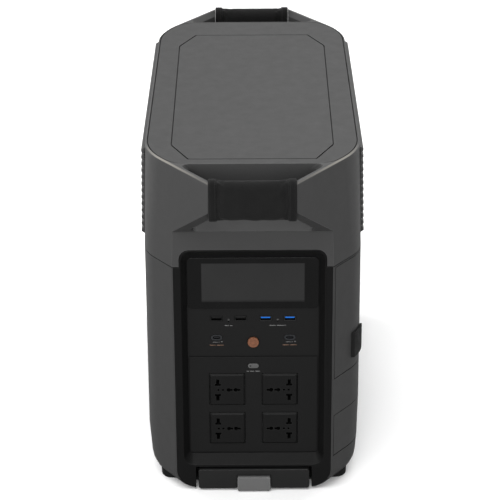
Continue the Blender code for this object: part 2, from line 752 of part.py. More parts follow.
def make_front_panel(mats):
    low = (-SHEET_X, -SHEET_Y, SHEET_LOW)
    high = (SHEET_X, -SHEET_Y + SHEET_THICK, SHEET_HIGH)
    panel = box("front_panel", low, high, mats["black"])
    near = -SHEET_Y - 10
    far = -SHEET_Y + 10
    window_low = (-CELL_X - 1.5, near, CELL_LOW - 1.5)
    window_high = (CELL_X + 1.5, far, CELL_HIGH + 1.5)
    cut(panel, box("display_window", window_low, window_high))
    for i, x in enumerate(PORT_X):
        half_w = USB_A_W / 2 + GAP
        half_h = USB_A_H / 2 + GAP
        hole = rounded_box((x - half_w, USB_A_Z - half_h), (x + half_w, USB_A_Z + half_h), 0.8, 1)
        cut(panel, prism_y(f"usb_a_hole_{i}", hole, near, far))
    for i, x in enumerate((PORT_X[0], PORT_X[3])):
        hole = pill((x, USB_C_Z), USB_C_W + 0.6, USB_C_H + 0.6, 5)
        cut(panel, prism_y(f"usb_c_hole_{i}", hole, near, far))
    cut(panel, prism_y("power_hole", circle((0, POWER_Z), POWER_R + 0.35, 24), near, far))
    button = pill((0, AC_BUTTON_Z), AC_BUTTON_W + 0.7, AC_BUTTON_H + 0.7, 5)
    cut(panel, prism_y("ac_button_hole", button, near, far))
    low = (-PLATE_X, -SHEET_Y - 1.3, PLATE_LOW)
    high = (PLATE_X, -SHEET_Y - 0.3, PLATE_HIGH)
    plate = box("ac_outlet_plate", low, high, mats["black"])
    cut(plate, prism_y("ac_button_hole_2", button, near, far))
    for sign in (-1, 1):
        for row, z in enumerate(OUTLET_Z):
            x = sign * OUTLET_X
            half_w = OUTLET_W / 2 + 0.3
            half_h = OUTLET_H / 2 + 0.3
            low = (x - half_w, near, z - half_h)
            hole = box(f"outlet_hole_{sign}_{row}", low, (x + half_w, far, z + half_h))
            cut(panel, hole)
            cut(plate, hole)


def make_display(mats):
    glass = rounded_box((-GLASS_X, GLASS_LOW), (GLASS_X, PANEL_HIGH - GAP), 5.0, 3)
    prism_y("display_glass", glass, -SHEET_Y - 1.5, -SHEET_Y - 0.3, mats["glass"])
    low = (-CELL_X, -SHEET_Y + 0.5, CELL_LOW)
    box("display_module", low, (CELL_X, -239.0, CELL_HIGH), mats["display"])


def make_usb_ports(mats):
    front = -SHEET_Y - 0.3
    for i, x in enumerate(PORT_X):
        half_w = USB_A_W / 2
        half_h = USB_A_H / 2
        outer = rounded_box((x - half_w, USB_A_Z - half_h), (x + half_w, USB_A_Z + half_h), 0.6, 1)
        inside = (x - 6.3, front - 2, USB_A_Z - 2.4), (x + 6.3, front + 10, USB_A_Z + 2.4)
        colour = mats["blue"] if x > 0 else mats["black"]
        port = prism_y(f"usb_a_port_{i + 1}", outer, front, front + 12, colour)
        cut(port, box(f"usb_a_mouth_{i}", *inside))
        low = (x - 5.6, front + 0.8, USB_A_Z + 0.3)
        join(port, box(f"usb_a_tongue_{i}", low, (x + 5.6, front + 11, USB_A_Z + 1.9)))
    for i, x in enumerate((PORT_X[0], PORT_X[3])):
        outer = pill((x, USB_C_Z), USB_C_W, USB_C_H, 5)
        port = prism_y(f"usb_c_port_{i + 1}", outer, front, front + 10, mats["black"])
        cut(port, prism_y(f"usb_c_mouth_{i}", pill((x, USB_C_Z), 9.2, 3.4, 4), front - 2, front + 7))
        low = (x - 3.4, front + 0.8, USB_C_Z - 0.4)
        join(port, box(f"usb_c_tongue_{i}", low, (x + 3.4, front + 8, USB_C_Z + 0.4)))


def make_buttons(mats):
    outline = circle((0, POWER_Z), POWER_R, 24)
    power = prism_y("power_button", outline, -SHEET_Y - 2.0, -SHEET_Y + 4.0, mats["copper"])
    outline = pill((0, AC_BUTTON_Z), AC_BUTTON_W, AC_BUTTON_H, 5)
    ac = prism_y("ac_button", outline, -SHEET_Y - 2.4, -SHEET_Y + 4.0, mats["grey"])
    smooth(power, 50)
    smooth(ac, 50)


def outlet_holes(tag, x, z, out):
    """Pin openings of a universal outlet; the side with the slots points outwards."""
    near = -SHEET_Y - 6
    far = -SHEET_Y + 12
    slot_x = x + out * 11.4
    tools = []
    start, end = PIN_SLOTS
    for i, (low, high) in enumerate(((start, end), (-end, -start))):
        head_low = start if low > 0 else -start - 2.8
        slot_low = (slot_x - 2.0, near, z + low)
        tools.append(box(f"slot_{tag}_{i}", slot_low, (slot_x + 2.0, far, z + high)))
        head = (slot_x - 3.6, near, z + head_low)
        tools.append(box(f"head_{tag}_{i}", head, (slot_x + 3.6, far, z + head_low + 2.8)))
    for i, (offset, radius) in enumerate(PIN_HOLES):
        outline = circle((x + out * offset, z), radius, 10)
        tools.append(prism_y(f"pin_{tag}_{i}", outline, near, far))
    for i, offset in enumerate((-5.0, -14.6)):
        low = (x + out * offset - 1.6, near, z - 1.3)
        high = (x + out * offset + 1.6, far, z + 1.3)
        tools.append(box(f"wedge_{tag}_{i}", low, high))
    return tools


def make_outlets(mats):
    number = 0
    for row, z in enumerate(OUTLET_Z):
        for sign in (-1, 1):
            number += 1
            x = sign * OUTLET_X
            rings = []
            for y, inset in ((-SHEET_Y - 3.2, 2.0), (-SHEET_Y - 1.4, 0.0), (-SHEET_Y + 18, 0.0)):
                half_w = OUTLET_W / 2 - inset
                half_h = OUTLET_H / 2 - inset
                ring = rounded_box((x - half_w, z - half_h), (x + half_w, z + half_h), 1.0, 1)
                rings.append([(u, y, v) for u, v in ring])
            outlet = loft(f"ac_outlet_{number}", rings, mats["black"])
            cut(outlet, *outlet_holes(str(number), x, z, sign))


def make_rear(mats):
    """Rear panel with inlets behind a flap, a charge switch and a reset button."""
    make_frame("rear_frame", 1, mats)
    low = (-SHEET_X, SHEET_Y - SHEET_THICK, SHEET_LOW)
    high = (SHEET_X, SHEET_Y, SHEET_HIGH)
    panel = box("rear_panel", low, high, mats["black"])
    near = SHEET_Y - 10
    far = SHEET_Y + 10
    for name, (low, high) in (("ac_inlet", AC_INLET), ("solar_inlet", SOLAR_INLET)):
        hole = rounded_box((low[0] - GAP, low[1] - GAP), (high[0] + GAP, high[1] + GAP), 4.0, 2)
        cut(panel, prism_y(f"{name}_hole", hole, near, far))
        make_inlet(name, low, high, mats)
    make_switch(panel, near, far, mats)
    cut(panel, prism_y("reset_hole", circle(RESET, RESET_R + GAP, 20), near, far))
    button = prism_y("reset_button", circle(RESET, RESET_R, 20), SHEET_Y - 8, SHEET_Y + 2.6, mats["grey"])
    smooth(button, 50)
    outline = rounded_box((-FLAP_X, FLAP_LOW), (FLAP_X, FLAP_HINGE_Z), 5.0, 2)
    back = SHEET_Y + 0.6
    flap = prism_y("rear_flap", outline, back, back + FLAP_THICK, mats["body"])
    reach = FLAP_X - 8
    profile = [(-reach, 0), (-reach, FLAP_HINGE_R), (reach, FLAP_HINGE_R), (reach, 0)]
    join(flap, turned("flap_barrel", profile, 16, (SHEET_Y + 3.0, FLAP_HINGE_Z)))
    smooth(flap)


def make_switch(panel, near, far, mats):
    """Sliding charge switch in a slot that leaves it room to move both ways."""
    x, z = SWITCH
    half_w = SWITCH_W / 2
    half_h = SWITCH_H / 2
    slot_w = half_w + SWITCH_TRAVEL + 4.5
    slot = rounded_box((x - slot_w, z - half_h - 0.6), (x + slot_w, z + half_h + 0.6), 1.0, 1)
    cut(panel, prism_y("switch_hole", slot, near, far))
    low = (x - half_w, SHEET_Y - 6, z - half_h)
    box("charge_switch", low, (x + half_w, SHEET_Y + 1.6, z + half_h), mats["grey"])


def make_inlet(name, low, high, mats):
    """Recessed inlet with three pins."""
    outline = rounded_box(low, high, 3.6, 2)
    body = prism_y(name, outline, SHEET_Y - INLET_DEPTH, SHEET_Y + 0.2, mats["black"])
    inside = rounded_box((low[0] + 3, low[1] + 3), (high[0] - 3, high[1] - 3), 2.4, 2)
    cut(body, prism_y(f"{name}_mouth", inside, SHEET_Y - 14, SHEET_Y + 4))
    middle = (low[0] + high[0]) / 2
    level = (low[1] + high[1]) / 2
    for i, shift in enumerate((-9, 0, 9)):
        rise = 3.5 if shift == 0 else -2.5
        pin_low = (middle + shift - 1.2, SHEET_Y - 15, level + rise - 3)
        pin_high = (middle + shift + 1.2, SHEET_Y - 3, level + rise + 3)
        join(body, box(f"{name}_pin_{i}", pin_low, pin_high))


# ---- Trolley, wheels and feet ----
def make_trolley(mats):
    slot = box("frame_slot", (-SLOT_X, -300, -10), (SLOT_X, -200, SLOT_Z))
    make_frame("front_frame", -1, mats, slot)
    grip_outline = rounded_box((-TROLLEY_X, TROLLEY_Z[0]), (TROLLEY_X, TROLLEY_Z[1]), 2.4, 2)
    grip = prism_y("trolley_grip", grip_outline, *TROLLEY_Y, mats["black"])
    pocket_x = LEVER_X + 0.5
    pocket_y = LEVER_Y[1] + LEVER_TRAVEL + 1.4
    cut(grip, box("lever_pocket", (-pocket_x, -280, -5), (pocket_x, pocket_y, LEVER_Z[1] + 0.6)))
    lever_outline = rounded_box((-LEVER_X, LEVER_Z[0]), (LEVER_X, LEVER_Z[1]), 1.6, 2)
    prism_y("release_lever", lever_outline, *LEVER_Y, mats["grey"])
    for name, sign in (("left", -1), ("right", 1)):
        rail = rail_outline(sign, 0.0, 1.5)
        prism_y(f"trolley_rail_{name}", rail, TROLLEY_Y[1] + 0.3, RAIL_END, mats["aluminium"])
        outer = rail_outline(sign, GUIDE_WALL, 2.5)
        guide = prism_y(f"rail_guide_{name}", outer, *GUIDE_Y, mats["steel"])
        bore = rail_outline(sign, RAIL_FIT, 1.9)
        cut(guide, prism_y(f"guide_bore_{name}", bore, GUIDE_Y[0] - 14, GUIDE_Y[1] + 15))


def rail_outline(sign, grow, radius):
    """Section of a trolley rail, grown on every side."""
    x = sign * RAIL_X
    half_w = RAIL_W / 2 + grow
    half_h = RAIL_H / 2 + grow
    return rounded_box((x - half_w, RAIL_Z - half_h), (x + half_w, RAIL_Z + half_h), radius, 2)


def make_wheels(mats):
    end = WHEEL_OUT - 6
    axle = [(-end, 0), (-end, AXLE_R), (end, AXLE_R), (end, 0)]
    smooth(turned("axle", axle, 24, (WHEEL_Y, WHEEL_R), mats["steel"]))
    bore = AXLE_R + AXLE_FIT
    for name, sign in (("left", -1), ("right", 1)):
        hub = [
            (WHEEL_IN, bore), (WHEEL_IN, 12), (WHEEL_IN + 2.5, 12), (WHEEL_IN + 2.5, 34),
            (WHEEL_IN + 0.5, 36), (WHEEL_IN + 0.5, 39.6), (WHEEL_OUT - 0.5, 39.6),
            (WHEEL_OUT - 0.5, 35), (WHEEL_OUT - 4.5, 32), (WHEEL_OUT - 4.5, 14),
            (WHEEL_OUT - 1.5, 12), (WHEEL_OUT - 1.5, 0), (end + 0.5, 0), (end + 0.5, bore),
        ]
        tyre = [
            (WHEEL_IN, 40), (WHEEL_IN, 46), (WHEEL_IN + 2, 48.6), (WHEEL_IN + 6, WHEEL_R),
            (WHEEL_OUT - 6, WHEEL_R), (WHEEL_OUT - 2, 48.6), (WHEEL_OUT, 46), (WHEEL_OUT, 40),
        ]
        hub = [(sign * x, r) for x, r in hub]
        tyre = [(sign * x, r) for x, r in tyre]
        smooth(turned(f"wheel_hub_{name}", hub, 20, (WHEEL_Y, WHEEL_R), mats["black"]))
        smooth(turned(f"wheel_tyre_{name}", tyre, 24, (WHEEL_Y, WHEEL_R), mats["rubber"]))


def make_feet(mats):
    for name, sign in (("left", -1), ("right", 1)):
        rings = []
        for z, grow in ((0, -1.5), (1.5, -0.3), (FOOT_TOP, 0.0)):
            rings.append([(x, y, z) for x, y in foot_outline(sign, grow)])
        smooth(loft(f"foot_{name}", rings, mats["rubber"]), 50)


# ---- Inside ----
def make_insides(mats):
    make_battery(mats)
    make_inverter(mats)
    make_board(mats)


def make_battery(mats):
    """Battery case with straps round its sides."""
    outline = rounded_box(BATTERY_LOW[:2], BATTERY_HIGH[:2], 6.0, 2)
    battery = prism_z("battery_pack", outline, BATTERY_LOW[2], BATTERY_HIGH[2], mats["steel"])
    reach = BATTERY_HIGH[0] + 1.5
    for i, y in enumerate(STRAP_Y):
        outline = rounded_box((-reach, y - STRAP_HALF), (reach, y + STRAP_HALF), 1.0, 1)
        join(battery, prism_z(f"battery_strap_{i}", outline, *STRAP_Z))


def make_inverter(mats):
    """Inverter block with cooling fins along its top."""
    inverter = box("inverter_module", INVERTER_LOW, INVERTER_HIGH, mats["aluminium"])
    for i in range(FIN_COUNT):
        x = (i - (FIN_COUNT - 1) / 2) * FIN_PITCH
        low = (x - FIN_THICK / 2, INVERTER_LOW[1] + 5, INVERTER_HIGH[2] - 2)
        high = (x + FIN_THICK / 2, INVERTER_HIGH[1] - 5, FIN_TOP)
        join(inverter, box(f"inverter_fin_{i}", low, high))


def make_board(mats):
    """Control board behind the display, with three chips on its rear."""
    back = BOARD_Y + BOARD_THICK
    board = box("control_board", (-BOARD_X, BOARD_Y, BOARD_Z[0]), (BOARD_X, back, BOARD_Z[1]), mats["board"])
    for i, (x, z) in enumerate(CHIPS):
        low = (x - CHIP_HALF, back - 0.2, z - CHIP_HALF)
        high = (x + CHIP_HALF, back + CHIP_THICK, z + CHIP_HALF)
        join(board, box(f"board_chip_{i}", low, high))


def make_fans(mats):
    for name, sign in (("left", -1), ("right", 1)):
        low = (FAN_Y - FAN_HALF, FAN_Z - FAN_HALF)
        outer = rounded_box(low, (FAN_Y + FAN_HALF, FAN_Z + FAN_HALF), 5.0, 2)
        back, front = FAN_FRAME_X
        frame = prism_x(f"fan_frame_{name}", outer, sign * back, sign * front, mats["black"])
        bore = [(back - 7, 0), (back - 7, FAN_BORE_R), (front + 6, FAN_BORE_R), (front + 6, 0)]
        bore = [(sign * x, radius) for x, radius in bore]
        cut(frame, turned(f"fan_bore_{name}", bore, 32, (FAN_Y, FAN_Z)))
        for i in (0, 1):
            reach = ((45, 3), (3, 45))[i]
            low, high = sorted_box(
                (sign * (back + 0.4), FAN_Y - reach[0], FAN_Z - reach[1]),
                (sign * (back + 3), FAN_Y + reach[0], FAN_Z + reach[1]),
            )
            join(frame, box(f"fan_spoke_{name}_{i}", low, high))
        hub = [(back + 4, 0), (back + 4, 16), (front - 3, 16), (front - 2, 14), (front - 2, 0)]
        hub = [(sign * x, radius) for x, radius in hub]
        rotor = turned(f"fan_rotor_{name}", hub, 3 * BLADE_COUNT, (FAN_Y, FAN_Z), mats["black"])
        for i in range(BLADE_COUNT):
            join(rotor, fan_blade(f"fan_blade_{name}_{i}", sign, math.tau * i / BLADE_COUNT))
        smooth(frame)


def fan_blade(name, sign, angle):
    """Thin blade that leans across the rotor."""
    back, front = BLADE_X
    corners = ((back, -0.22), (back, -0.16), (front, 0.22), (front, 0.16))
    rings = []
    for radius, sweep in zip(BLADE_R, (0.0, 0.25)):
        ring = []
        for x, share in corners:
            turn = angle + sweep + share * 16 / radius
            ring.append((sign * x, FAN_Y + radius * math.cos(turn), FAN_Z + radius * math.sin(turn)))
        rings.append(ring)
    return loft(name, rings)


# ---- Joint axes ----
def set_origin(name, point):
    """Put an object's origin on its joint axis without moving its shape."""
    thing = bpy.data.objects[name]
    place = Matrix.Translation(Vector(point) * MM)
    thing.data.transform(place.inverted())
    thing.location = place.translation


def place_origins():
    for sign, side in ((-1, "left"), (1, "right")):
        wheel = (sign * (WHEEL_IN + WHEEL_OUT) / 2, WHEEL_Y, WHEEL_R)
        set_origin(f"wheel_hub_{side}", wheel)
        set_origin(f"wheel_tyre_{side}", wheel)
        set_origin(f"fan_rotor_{side}", (sign * FAN_X, FAN_Y, FAN_Z))
        set_origin(f"trolley_rail_{side}", (sign * RAIL_X, -FACE_Y, RAIL_Z))
    set_origin("trolley_grip", (0, -FACE_Y, RAIL_Z))
    set_origin("release_lever", (0, -FACE_Y, sum(LEVER_Z) / 2))
    set_origin("power_button", (0, -SHEET_Y, POWER_Z))
    set_origin("ac_button", (0, -SHEET_Y, AC_BUTTON_Z))
    for name in ("side_door", "side_door_latch"):
        set_origin(name, (HINGE_X, HINGE_Y, (HINGE_Z[0] + HINGE_Z[1]) / 2))
    set_origin("rear_flap", (0, SHEET_Y + 3.0, FLAP_HINGE_Z))
    set_origin("charge_switch", (SWITCH[0], SHEET_Y, SWITCH[1]))
    set_origin("reset_button", (RESET[0], SHEET_Y, RESET[1]))


def main():
    for thing in list(bpy.data.objects):
        bpy.data.objects.remove(thing)
    mats = make_materials()
    make_cap(mats)
    make_lid(mats)
    make_louvres(mats)
    make_grips(mats)
    make_lower_shell(mats)
    make_base_tray(mats)
    make_corner_covers(mats)
    make_port_panel(mats)
    make_trolley(mats)
    make_front_panel(mats)
    make_display(mats)
    make_usb_ports(mats)
    make_buttons(mats)
    make_outlets(mats)
    make_rear(mats)
    make_wheels(mats)
    make_feet(mats)
    make_insides(mats)
    make_fans(mats)
    place_origins()


main()
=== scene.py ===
"""Looks of the wheeled power station: materials, fabric grips, tyres, marks, light and camera.

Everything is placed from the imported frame, in metres, +Z up, with the outlet panel facing -Y.
"""
import math

import bmesh
import bpy
from mathutils import Matrix, Vector


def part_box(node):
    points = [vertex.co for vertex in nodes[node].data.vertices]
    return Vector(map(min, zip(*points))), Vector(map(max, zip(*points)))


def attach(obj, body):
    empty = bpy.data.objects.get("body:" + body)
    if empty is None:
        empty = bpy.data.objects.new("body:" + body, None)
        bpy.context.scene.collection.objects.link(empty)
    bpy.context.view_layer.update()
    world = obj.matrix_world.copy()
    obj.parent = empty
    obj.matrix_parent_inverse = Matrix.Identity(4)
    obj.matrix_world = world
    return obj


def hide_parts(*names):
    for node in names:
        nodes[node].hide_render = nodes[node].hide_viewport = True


MM = 0.001
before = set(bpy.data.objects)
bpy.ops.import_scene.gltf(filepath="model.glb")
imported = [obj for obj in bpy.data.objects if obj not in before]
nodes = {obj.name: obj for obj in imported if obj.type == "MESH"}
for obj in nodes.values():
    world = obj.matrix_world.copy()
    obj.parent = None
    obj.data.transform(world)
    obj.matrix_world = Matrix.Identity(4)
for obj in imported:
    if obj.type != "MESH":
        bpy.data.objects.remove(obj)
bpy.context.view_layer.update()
scene = bpy.context.scene
scene.view_settings.view_transform = "Standard"


def grey(level):
    """Linear colour of an sRGB grey level from 0 to 255."""
    return srgb(level, level, level)


def srgb(red, green, blue):
    def linear(level):
        share = level / 255
        return share / 12.92 if share <= 0.04045 else ((share + 0.055) / 1.055) ** 2.4

    return (linear(red), linear(green), linear(blue), 1.0)


# ---- Node helpers ----
# The mix node has sockets of the same name for numbers, vectors and colours
MIX_COLOUR_A = 6
MIX_COLOUR_B = 7
MIX_COLOUR_RESULT = 2
SHADER_SAMPLES = 4        # rays of the edge and crevice nodes
FLAT_DOT = 0.98           # softened against true normal: on a flat face
EDGE_DOT = 0.85           # and on an edge


class Nodes:
    """Short calls for building one material's node tree."""

    def __init__(self, name):
        self.material = bpy.data.materials.new(name)
        self.material.use_nodes = True
        self.tree = self.material.node_tree
        self.shader = self.tree.nodes["Principled BSDF"]
        self.place = self.add("ShaderNodeTexCoord").outputs["Object"]

    @classmethod
    def reopen(cls, material):
        """Go on with a material made earlier."""
        n = cls.__new__(cls)
        n.material = material
        n.tree = material.node_tree
        n.shader = n.tree.nodes["Principled BSDF"]
        n.place = n.add("ShaderNodeTexCoord").outputs["Object"]
        return n

    def overlay(self, share, colour):
        """Lay a colour over the present base colour."""
        under = self.shader.inputs["Base Color"].links[0].from_socket
        self.link(self.mix(share, under, colour), self.shader.inputs["Base Color"])

    def add(self, kind, **settings):
        node = self.tree.nodes.new(kind)
        for key, value in settings.items():
            setattr(node, key, value)
        return node

    def link(self, source, target):
        self.tree.links.new(source, target)

    def feed(self, socket, value):
        if isinstance(value, bpy.types.NodeSocket):
            self.link(value, socket)
        else:
            socket.default_value = value

    def math(self, operation, first, second=0.0, third=0.0, clamp=False):
        node = self.add("ShaderNodeMath", operation=operation, use_clamp=clamp)
        for socket, value in zip(node.inputs, (first, second, third)):
            self.feed(socket, value)
        return node.outputs[0]

    def product(self, first, *others):
        for other in others:
            first = self.math("MULTIPLY", first, other)
        return first

    def noise(self, scale, detail=2.0, roughness=0.5, vector=None, distortion=0.0):
        """Smooth noise in the object's own metres."""
        node = self.add("ShaderNodeTexNoise")
        self.link(vector or self.place, node.inputs["Vector"])
        node.inputs["Scale"].default_value = scale
        node.inputs["Detail"].default_value = detail
        node.inputs["Roughness"].default_value = roughness
        node.inputs["Distortion"].default_value = distortion
        return node.outputs["Fac"]

    def ramp(self, value, low, high, start=0.0, end=1.0):
        """A value run from low and high to start and end, held at both."""
        node = self.add("ShaderNodeMapRange", clamp=True)
        self.feed(node.inputs["Value"], value)
        node.inputs["From Min"].default_value = low
        node.inputs["From Max"].default_value = high
        node.inputs["To Min"].default_value = start
        node.inputs["To Max"].default_value = end
        return node.outputs["Result"]

    def mix(self, share, first, second):
        node = self.add("ShaderNodeMix", data_type="RGBA")
        self.feed(node.inputs["Factor"], share)
        self.feed(node.inputs[MIX_COLOUR_A], first)
        self.feed(node.inputs[MIX_COLOUR_B], second)
        return node.outputs[MIX_COLOUR_RESULT]

    def scaled(self, x, y, z):
        node = self.add("ShaderNodeMapping")
        self.link(self.place, node.inputs["Vector"])
        node.inputs["Scale"].default_value = (x, y, z)
        return node.outputs["Vector"]

    def axes(self):
        node = self.add("ShaderNodeSeparateXYZ")
        self.link(self.place, node.inputs["Vector"])
        return node.outputs

    def edges(self, width):
        """1 on convex edges, 0 on flat faces."""
        bevel = self.add("ShaderNodeBevel", samples=SHADER_SAMPLES)
        bevel.inputs["Radius"].default_value = width
        geometry = self.add("ShaderNodeNewGeometry")
        dot = self.add("ShaderNodeVectorMath", operation="DOT_PRODUCT")
        self.link(bevel.outputs["Normal"], dot.inputs[0])
        self.link(geometry.outputs["True Normal"], dot.inputs[1])
        return self.ramp(dot.outputs["Value"], FLAT_DOT, EDGE_DOT)

    def crevice(self, reach):
        """1 in the open, towards 0 in narrow gaps."""
        occlusion = self.add("ShaderNodeAmbientOcclusion", samples=SHADER_SAMPLES)
        occlusion.inputs["Distance"].default_value = reach
        return occlusion.outputs["AO"]

    def bump(self, height, distance):
        node = self.add("ShaderNodeBump")
        node.inputs["Distance"].default_value = distance
        self.link(height, node.inputs["Height"])
        return node.outputs["Normal"]

    def band(self, value, centre, inner, outer):
        """1 within inner of a centre, falling to 0 at outer."""
        away = self.math("ABSOLUTE", self.math("SUBTRACT", value, centre))
        return self.ramp(away, outer, inner)

    def radius(self, centre_x, centre_z):
        """Distance from an axis that runs along the length."""
        x, _, z = self.axes()
        across = self.math("SUBTRACT", x, centre_x)
        up = self.math("SUBTRACT", z, centre_z)
        squares = [self.math("MULTIPLY", side, side) for side in (across, up)]
        return self.math("SQRT", self.math("ADD", *squares))


# ---- Materials ----
def tone(colour, factor, lift=0.0):
    """A linear colour made lighter or darker."""
    return tuple(c * factor + lift for c in colour[:3]) + (1.0,)


# Width of the convex edge band painted lighter, as wear and as painted highlight
WEAR_AND_HIGHLIGHT_WIDTH = 1.1 * MM
SEAM_SHADE_REACH = 4.0 * MM


def moulded(
    name, level, roughness, grain=0.045, tint=(1.0, 1.0, 1.0), wear_and_highlight=0.35, gloss=0.3, seam=0.75
):
    """Spark-textured moulded plastic: faint shade drift, dust, edges lighter with wear and painted
    highlight, and painted shade in seams and gaps.
    """
    n = Nodes(name)
    base = tuple(c * t for c, t in zip(grey(level)[:3], tint)) + (1.0,)
    drift = n.ramp(n.noise(7.0, 3.0), 0.3, 0.7)
    colour = n.mix(drift, tone(base, 0.98), tone(base, 1.03))
    speck = n.ramp(n.noise(2600, 2.0), 0.35, 0.7)
    colour = n.mix(n.math("MULTIPLY", speck, 0.12), colour, tone(base, 2.2))
    patch = n.noise(38.0, 4.0, 0.6)
    # Painted highlight and wear: convex edges made lighter in noisy patches
    worn_and_lit = n.math("MULTIPLY", n.edges(WEAR_AND_HIGHLIGHT_WIDTH), n.ramp(patch, 0.25, 0.65), clamp=True)
    colour = n.mix(n.math("MULTIPLY", worn_and_lit, wear_and_highlight), colour, tone(base, 2.6, 0.012))
    # Painted shade: colour darkened in seams and narrow gaps, driven by the occlusion node
    if seam > 0:
        shade = n.ramp(n.crevice(SEAM_SHADE_REACH), 0.90, 0.50, 0.0, seam)
        colour = n.mix(shade, colour, tone(base, 0.08))
    n.link(colour, n.shader.inputs["Base Color"])
    smear = n.ramp(n.noise(60.0, 5.0, 0.65), 0.3, 0.7, roughness - 0.04, roughness + 0.05)
    n.link(smear, n.shader.inputs["Roughness"])
    fine = n.noise(1500, 3.0, 0.6)
    pits = n.noise(700, 2.0)
    height = n.math("ADD", fine, n.math("MULTIPLY", pits, 0.7))
    n.link(n.bump(height, grain * MM), n.shader.inputs["Normal"])
    n.shader.inputs["Specular IOR Level"].default_value = gloss
    return n.material


def rubber(name, level):
    """Dull black rubber with dust in patches."""
    n = Nodes(name)
    base = grey(level)
    dust = n.ramp(n.noise(60.0, 5.0, 0.65), 0.42, 0.75)
    colour = n.mix(n.math("MULTIPLY", dust, 0.3), base, grey(level + 16))
    n.link(colour, n.shader.inputs["Base Color"])
    n.link(n.ramp(n.noise(90.0, 3.0), 0.3, 0.7, 0.62, 0.85), n.shader.inputs["Roughness"])
    n.link(n.bump(n.noise(900.0, 3.0, 0.6), 0.08 * MM), n.shader.inputs["Normal"])
    n.shader.inputs["Specular IOR Level"].default_value = 0.15
    return n.material


def smoked_glass(name):
    """Dark glossy sheet; the liquid-crystal cell behind it shows as a slightly lighter field."""
    n = Nodes(name)
    x, y, z = n.axes()
    across = n.math("SUBTRACT", n.math("ABSOLUTE", x), CELL_HALF_X)
    up = n.math("SUBTRACT", n.math("ABSOLUTE", n.math("SUBTRACT", z, CELL_Z)), CELL_HALF_Z)
    outside = n.math("MAXIMUM", across, up)
    cell = n.ramp(outside, 0.5 * MM, -0.5 * MM)
    lower = n.ramp(z, CELL_Z - CELL_HALF_Z + 1.5 * MM, CELL_Z - CELL_HALF_Z + 2.5 * MM)
    field = n.mix(lower, grey(24), grey(36))
    segments = n.noise(35.0, 2.0, vector=n.scaled(1.0, 1.0, 0.5))
    field = n.mix(n.math("MULTIPLY", segments, 0.16), field, grey(60))
    colour = n.mix(cell, grey(3), field)
    n.link(colour, n.shader.inputs["Base Color"])
    prints = n.ramp(n.noise(26.0, 5.0, 0.6, distortion=0.6), 0.45, 0.75, 0.16, 0.30)
    n.link(prints, n.shader.inputs["Roughness"])
    n.link(n.bump(n.noise(14.0, 1.0), 0.05 * MM), n.shader.inputs["Normal"])
    n.shader.inputs["Specular IOR Level"].default_value = 0.2
    return n.material


def metal(name, colour, roughness, stretch=(1.0, 1.0, 1.0), metallic=1.0):
    """Metal with a drawn or brushed grain along the axis that stretch leaves short."""
    n = Nodes(name)
    streak = n.noise(600.0, 3.0, 0.6, vector=n.scaled(*stretch))
    shine = n.mix(n.ramp(streak, 0.3, 0.7), tone(colour, 0.72), tone(colour, 1.18))
    n.link(shine, n.shader.inputs["Base Color"])
    n.shader.inputs["Metallic"].default_value = metallic
    smear = n.ramp(n.noise(45.0, 4.0, 0.6), 0.3, 0.7, roughness - 0.08, roughness + 0.1)
    n.link(smear, n.shader.inputs["Roughness"])
    n.link(n.bump(streak, 0.02 * MM), n.shader.inputs["Normal"])
    return n.material


def woven(name, level, thread_mm=0.9):
    """Plain weave of coarse thread: warp and weft rise in turn."""
    n = Nodes(name)
    x, y, z = n.axes()
    turn = math.pi / (thread_mm * MM)
    warp = n.math("SINE", n.math("MULTIPLY", x, turn))
    weft = n.math("SINE", n.math("MULTIPLY", n.math("ADD", z, y), turn))
    checker = n.math("MULTIPLY", warp, weft)
    ribs = n.math("ADD", n.math("ABSOLUTE", warp), n.math("ABSOLUTE", weft))
    height = n.math("ADD", n.math("MULTIPLY", checker, 0.5), n.math("MULTIPLY", ribs, 0.35))
    fuzz = n.noise(2400.0, 3.0, 0.7)
    height = n.math("ADD", height, n.math("MULTIPLY", fuzz, 0.6))
    shade = n.ramp(height, -0.3, 1.4)
    lint = n.ramp(n.noise(75.0, 4.0, 0.65), 0.4, 0.72)
    colour = n.mix(shade, grey(level - 10), grey(level + 10))
    colour = n.mix(n.math("MULTIPLY", lint, 0.3), colour, grey(level + 14))
    n.link(colour, n.shader.inputs["Base Color"])
    n.shader.inputs["Roughness"].default_value = 0.95
    n.shader.inputs["Sheen Weight"].default_value = 0.04
    n.shader.inputs["Sheen Roughness"].default_value = 0.5
    n.shader.inputs["Specular IOR Level"].default_value = 0.15
    n.link(n.bump(height, 0.22 * MM), n.shader.inputs["Normal"])
    return n.material


def cap_plastic(name, level):
    """The cap's moulded plastic, with a painted highlight along the outer bevel of its rim at the
    corners.
    """
    material = moulded(name, level, 0.56, gloss=0.25, seam=0.9, wear_and_highlight=0.6)
    n = Nodes.reopen(material)
    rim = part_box("top_cap")[1].z
    x, y, z = n.axes()
    geometry = n.add("ShaderNodeNewGeometry")
    parts = n.add("ShaderNodeSeparateXYZ")
    n.link(geometry.outputs["Normal"], parts.inputs["Vector"])
    upward = n.ramp(parts.outputs["Z"], 0.40, 0.55)
    outward = n.ramp(n.math("MULTIPLY", parts.outputs["X"], x), 0.003, 0.010)
    at_rim = n.ramp(z, rim - 3 * MM, rim - 1.6 * MM)
    along = n.math("ABSOLUTE", y)
    past_side = n.ramp(along, 190 * MM, 232 * MM)
    fading = n.ramp(along, 300 * MM, 245 * MM, 0.3, 1.0)
    # Painted highlight: light beige on the rim's upward, outward bevel, strongest past the straight
    # sides and fading towards the ends
    n.overlay(n.product(upward, outward, at_rim, past_side, fading), srgb(122, 119, 113))
    return material


def dotted_key(name, level, node):
    """Key plastic with a dark indicator dot at the key's left end."""
    material = moulded(name, level, 0.5, grain=0.02)
    n = Nodes.reopen(material)
    low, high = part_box(node)
    away = n.radius(low.x + (high.z - low.z) / 2, (low.z + high.z) / 2)
    n.overlay(n.ramp(away, 1.3 * MM, 0.9 * MM), grey(34))
    return material


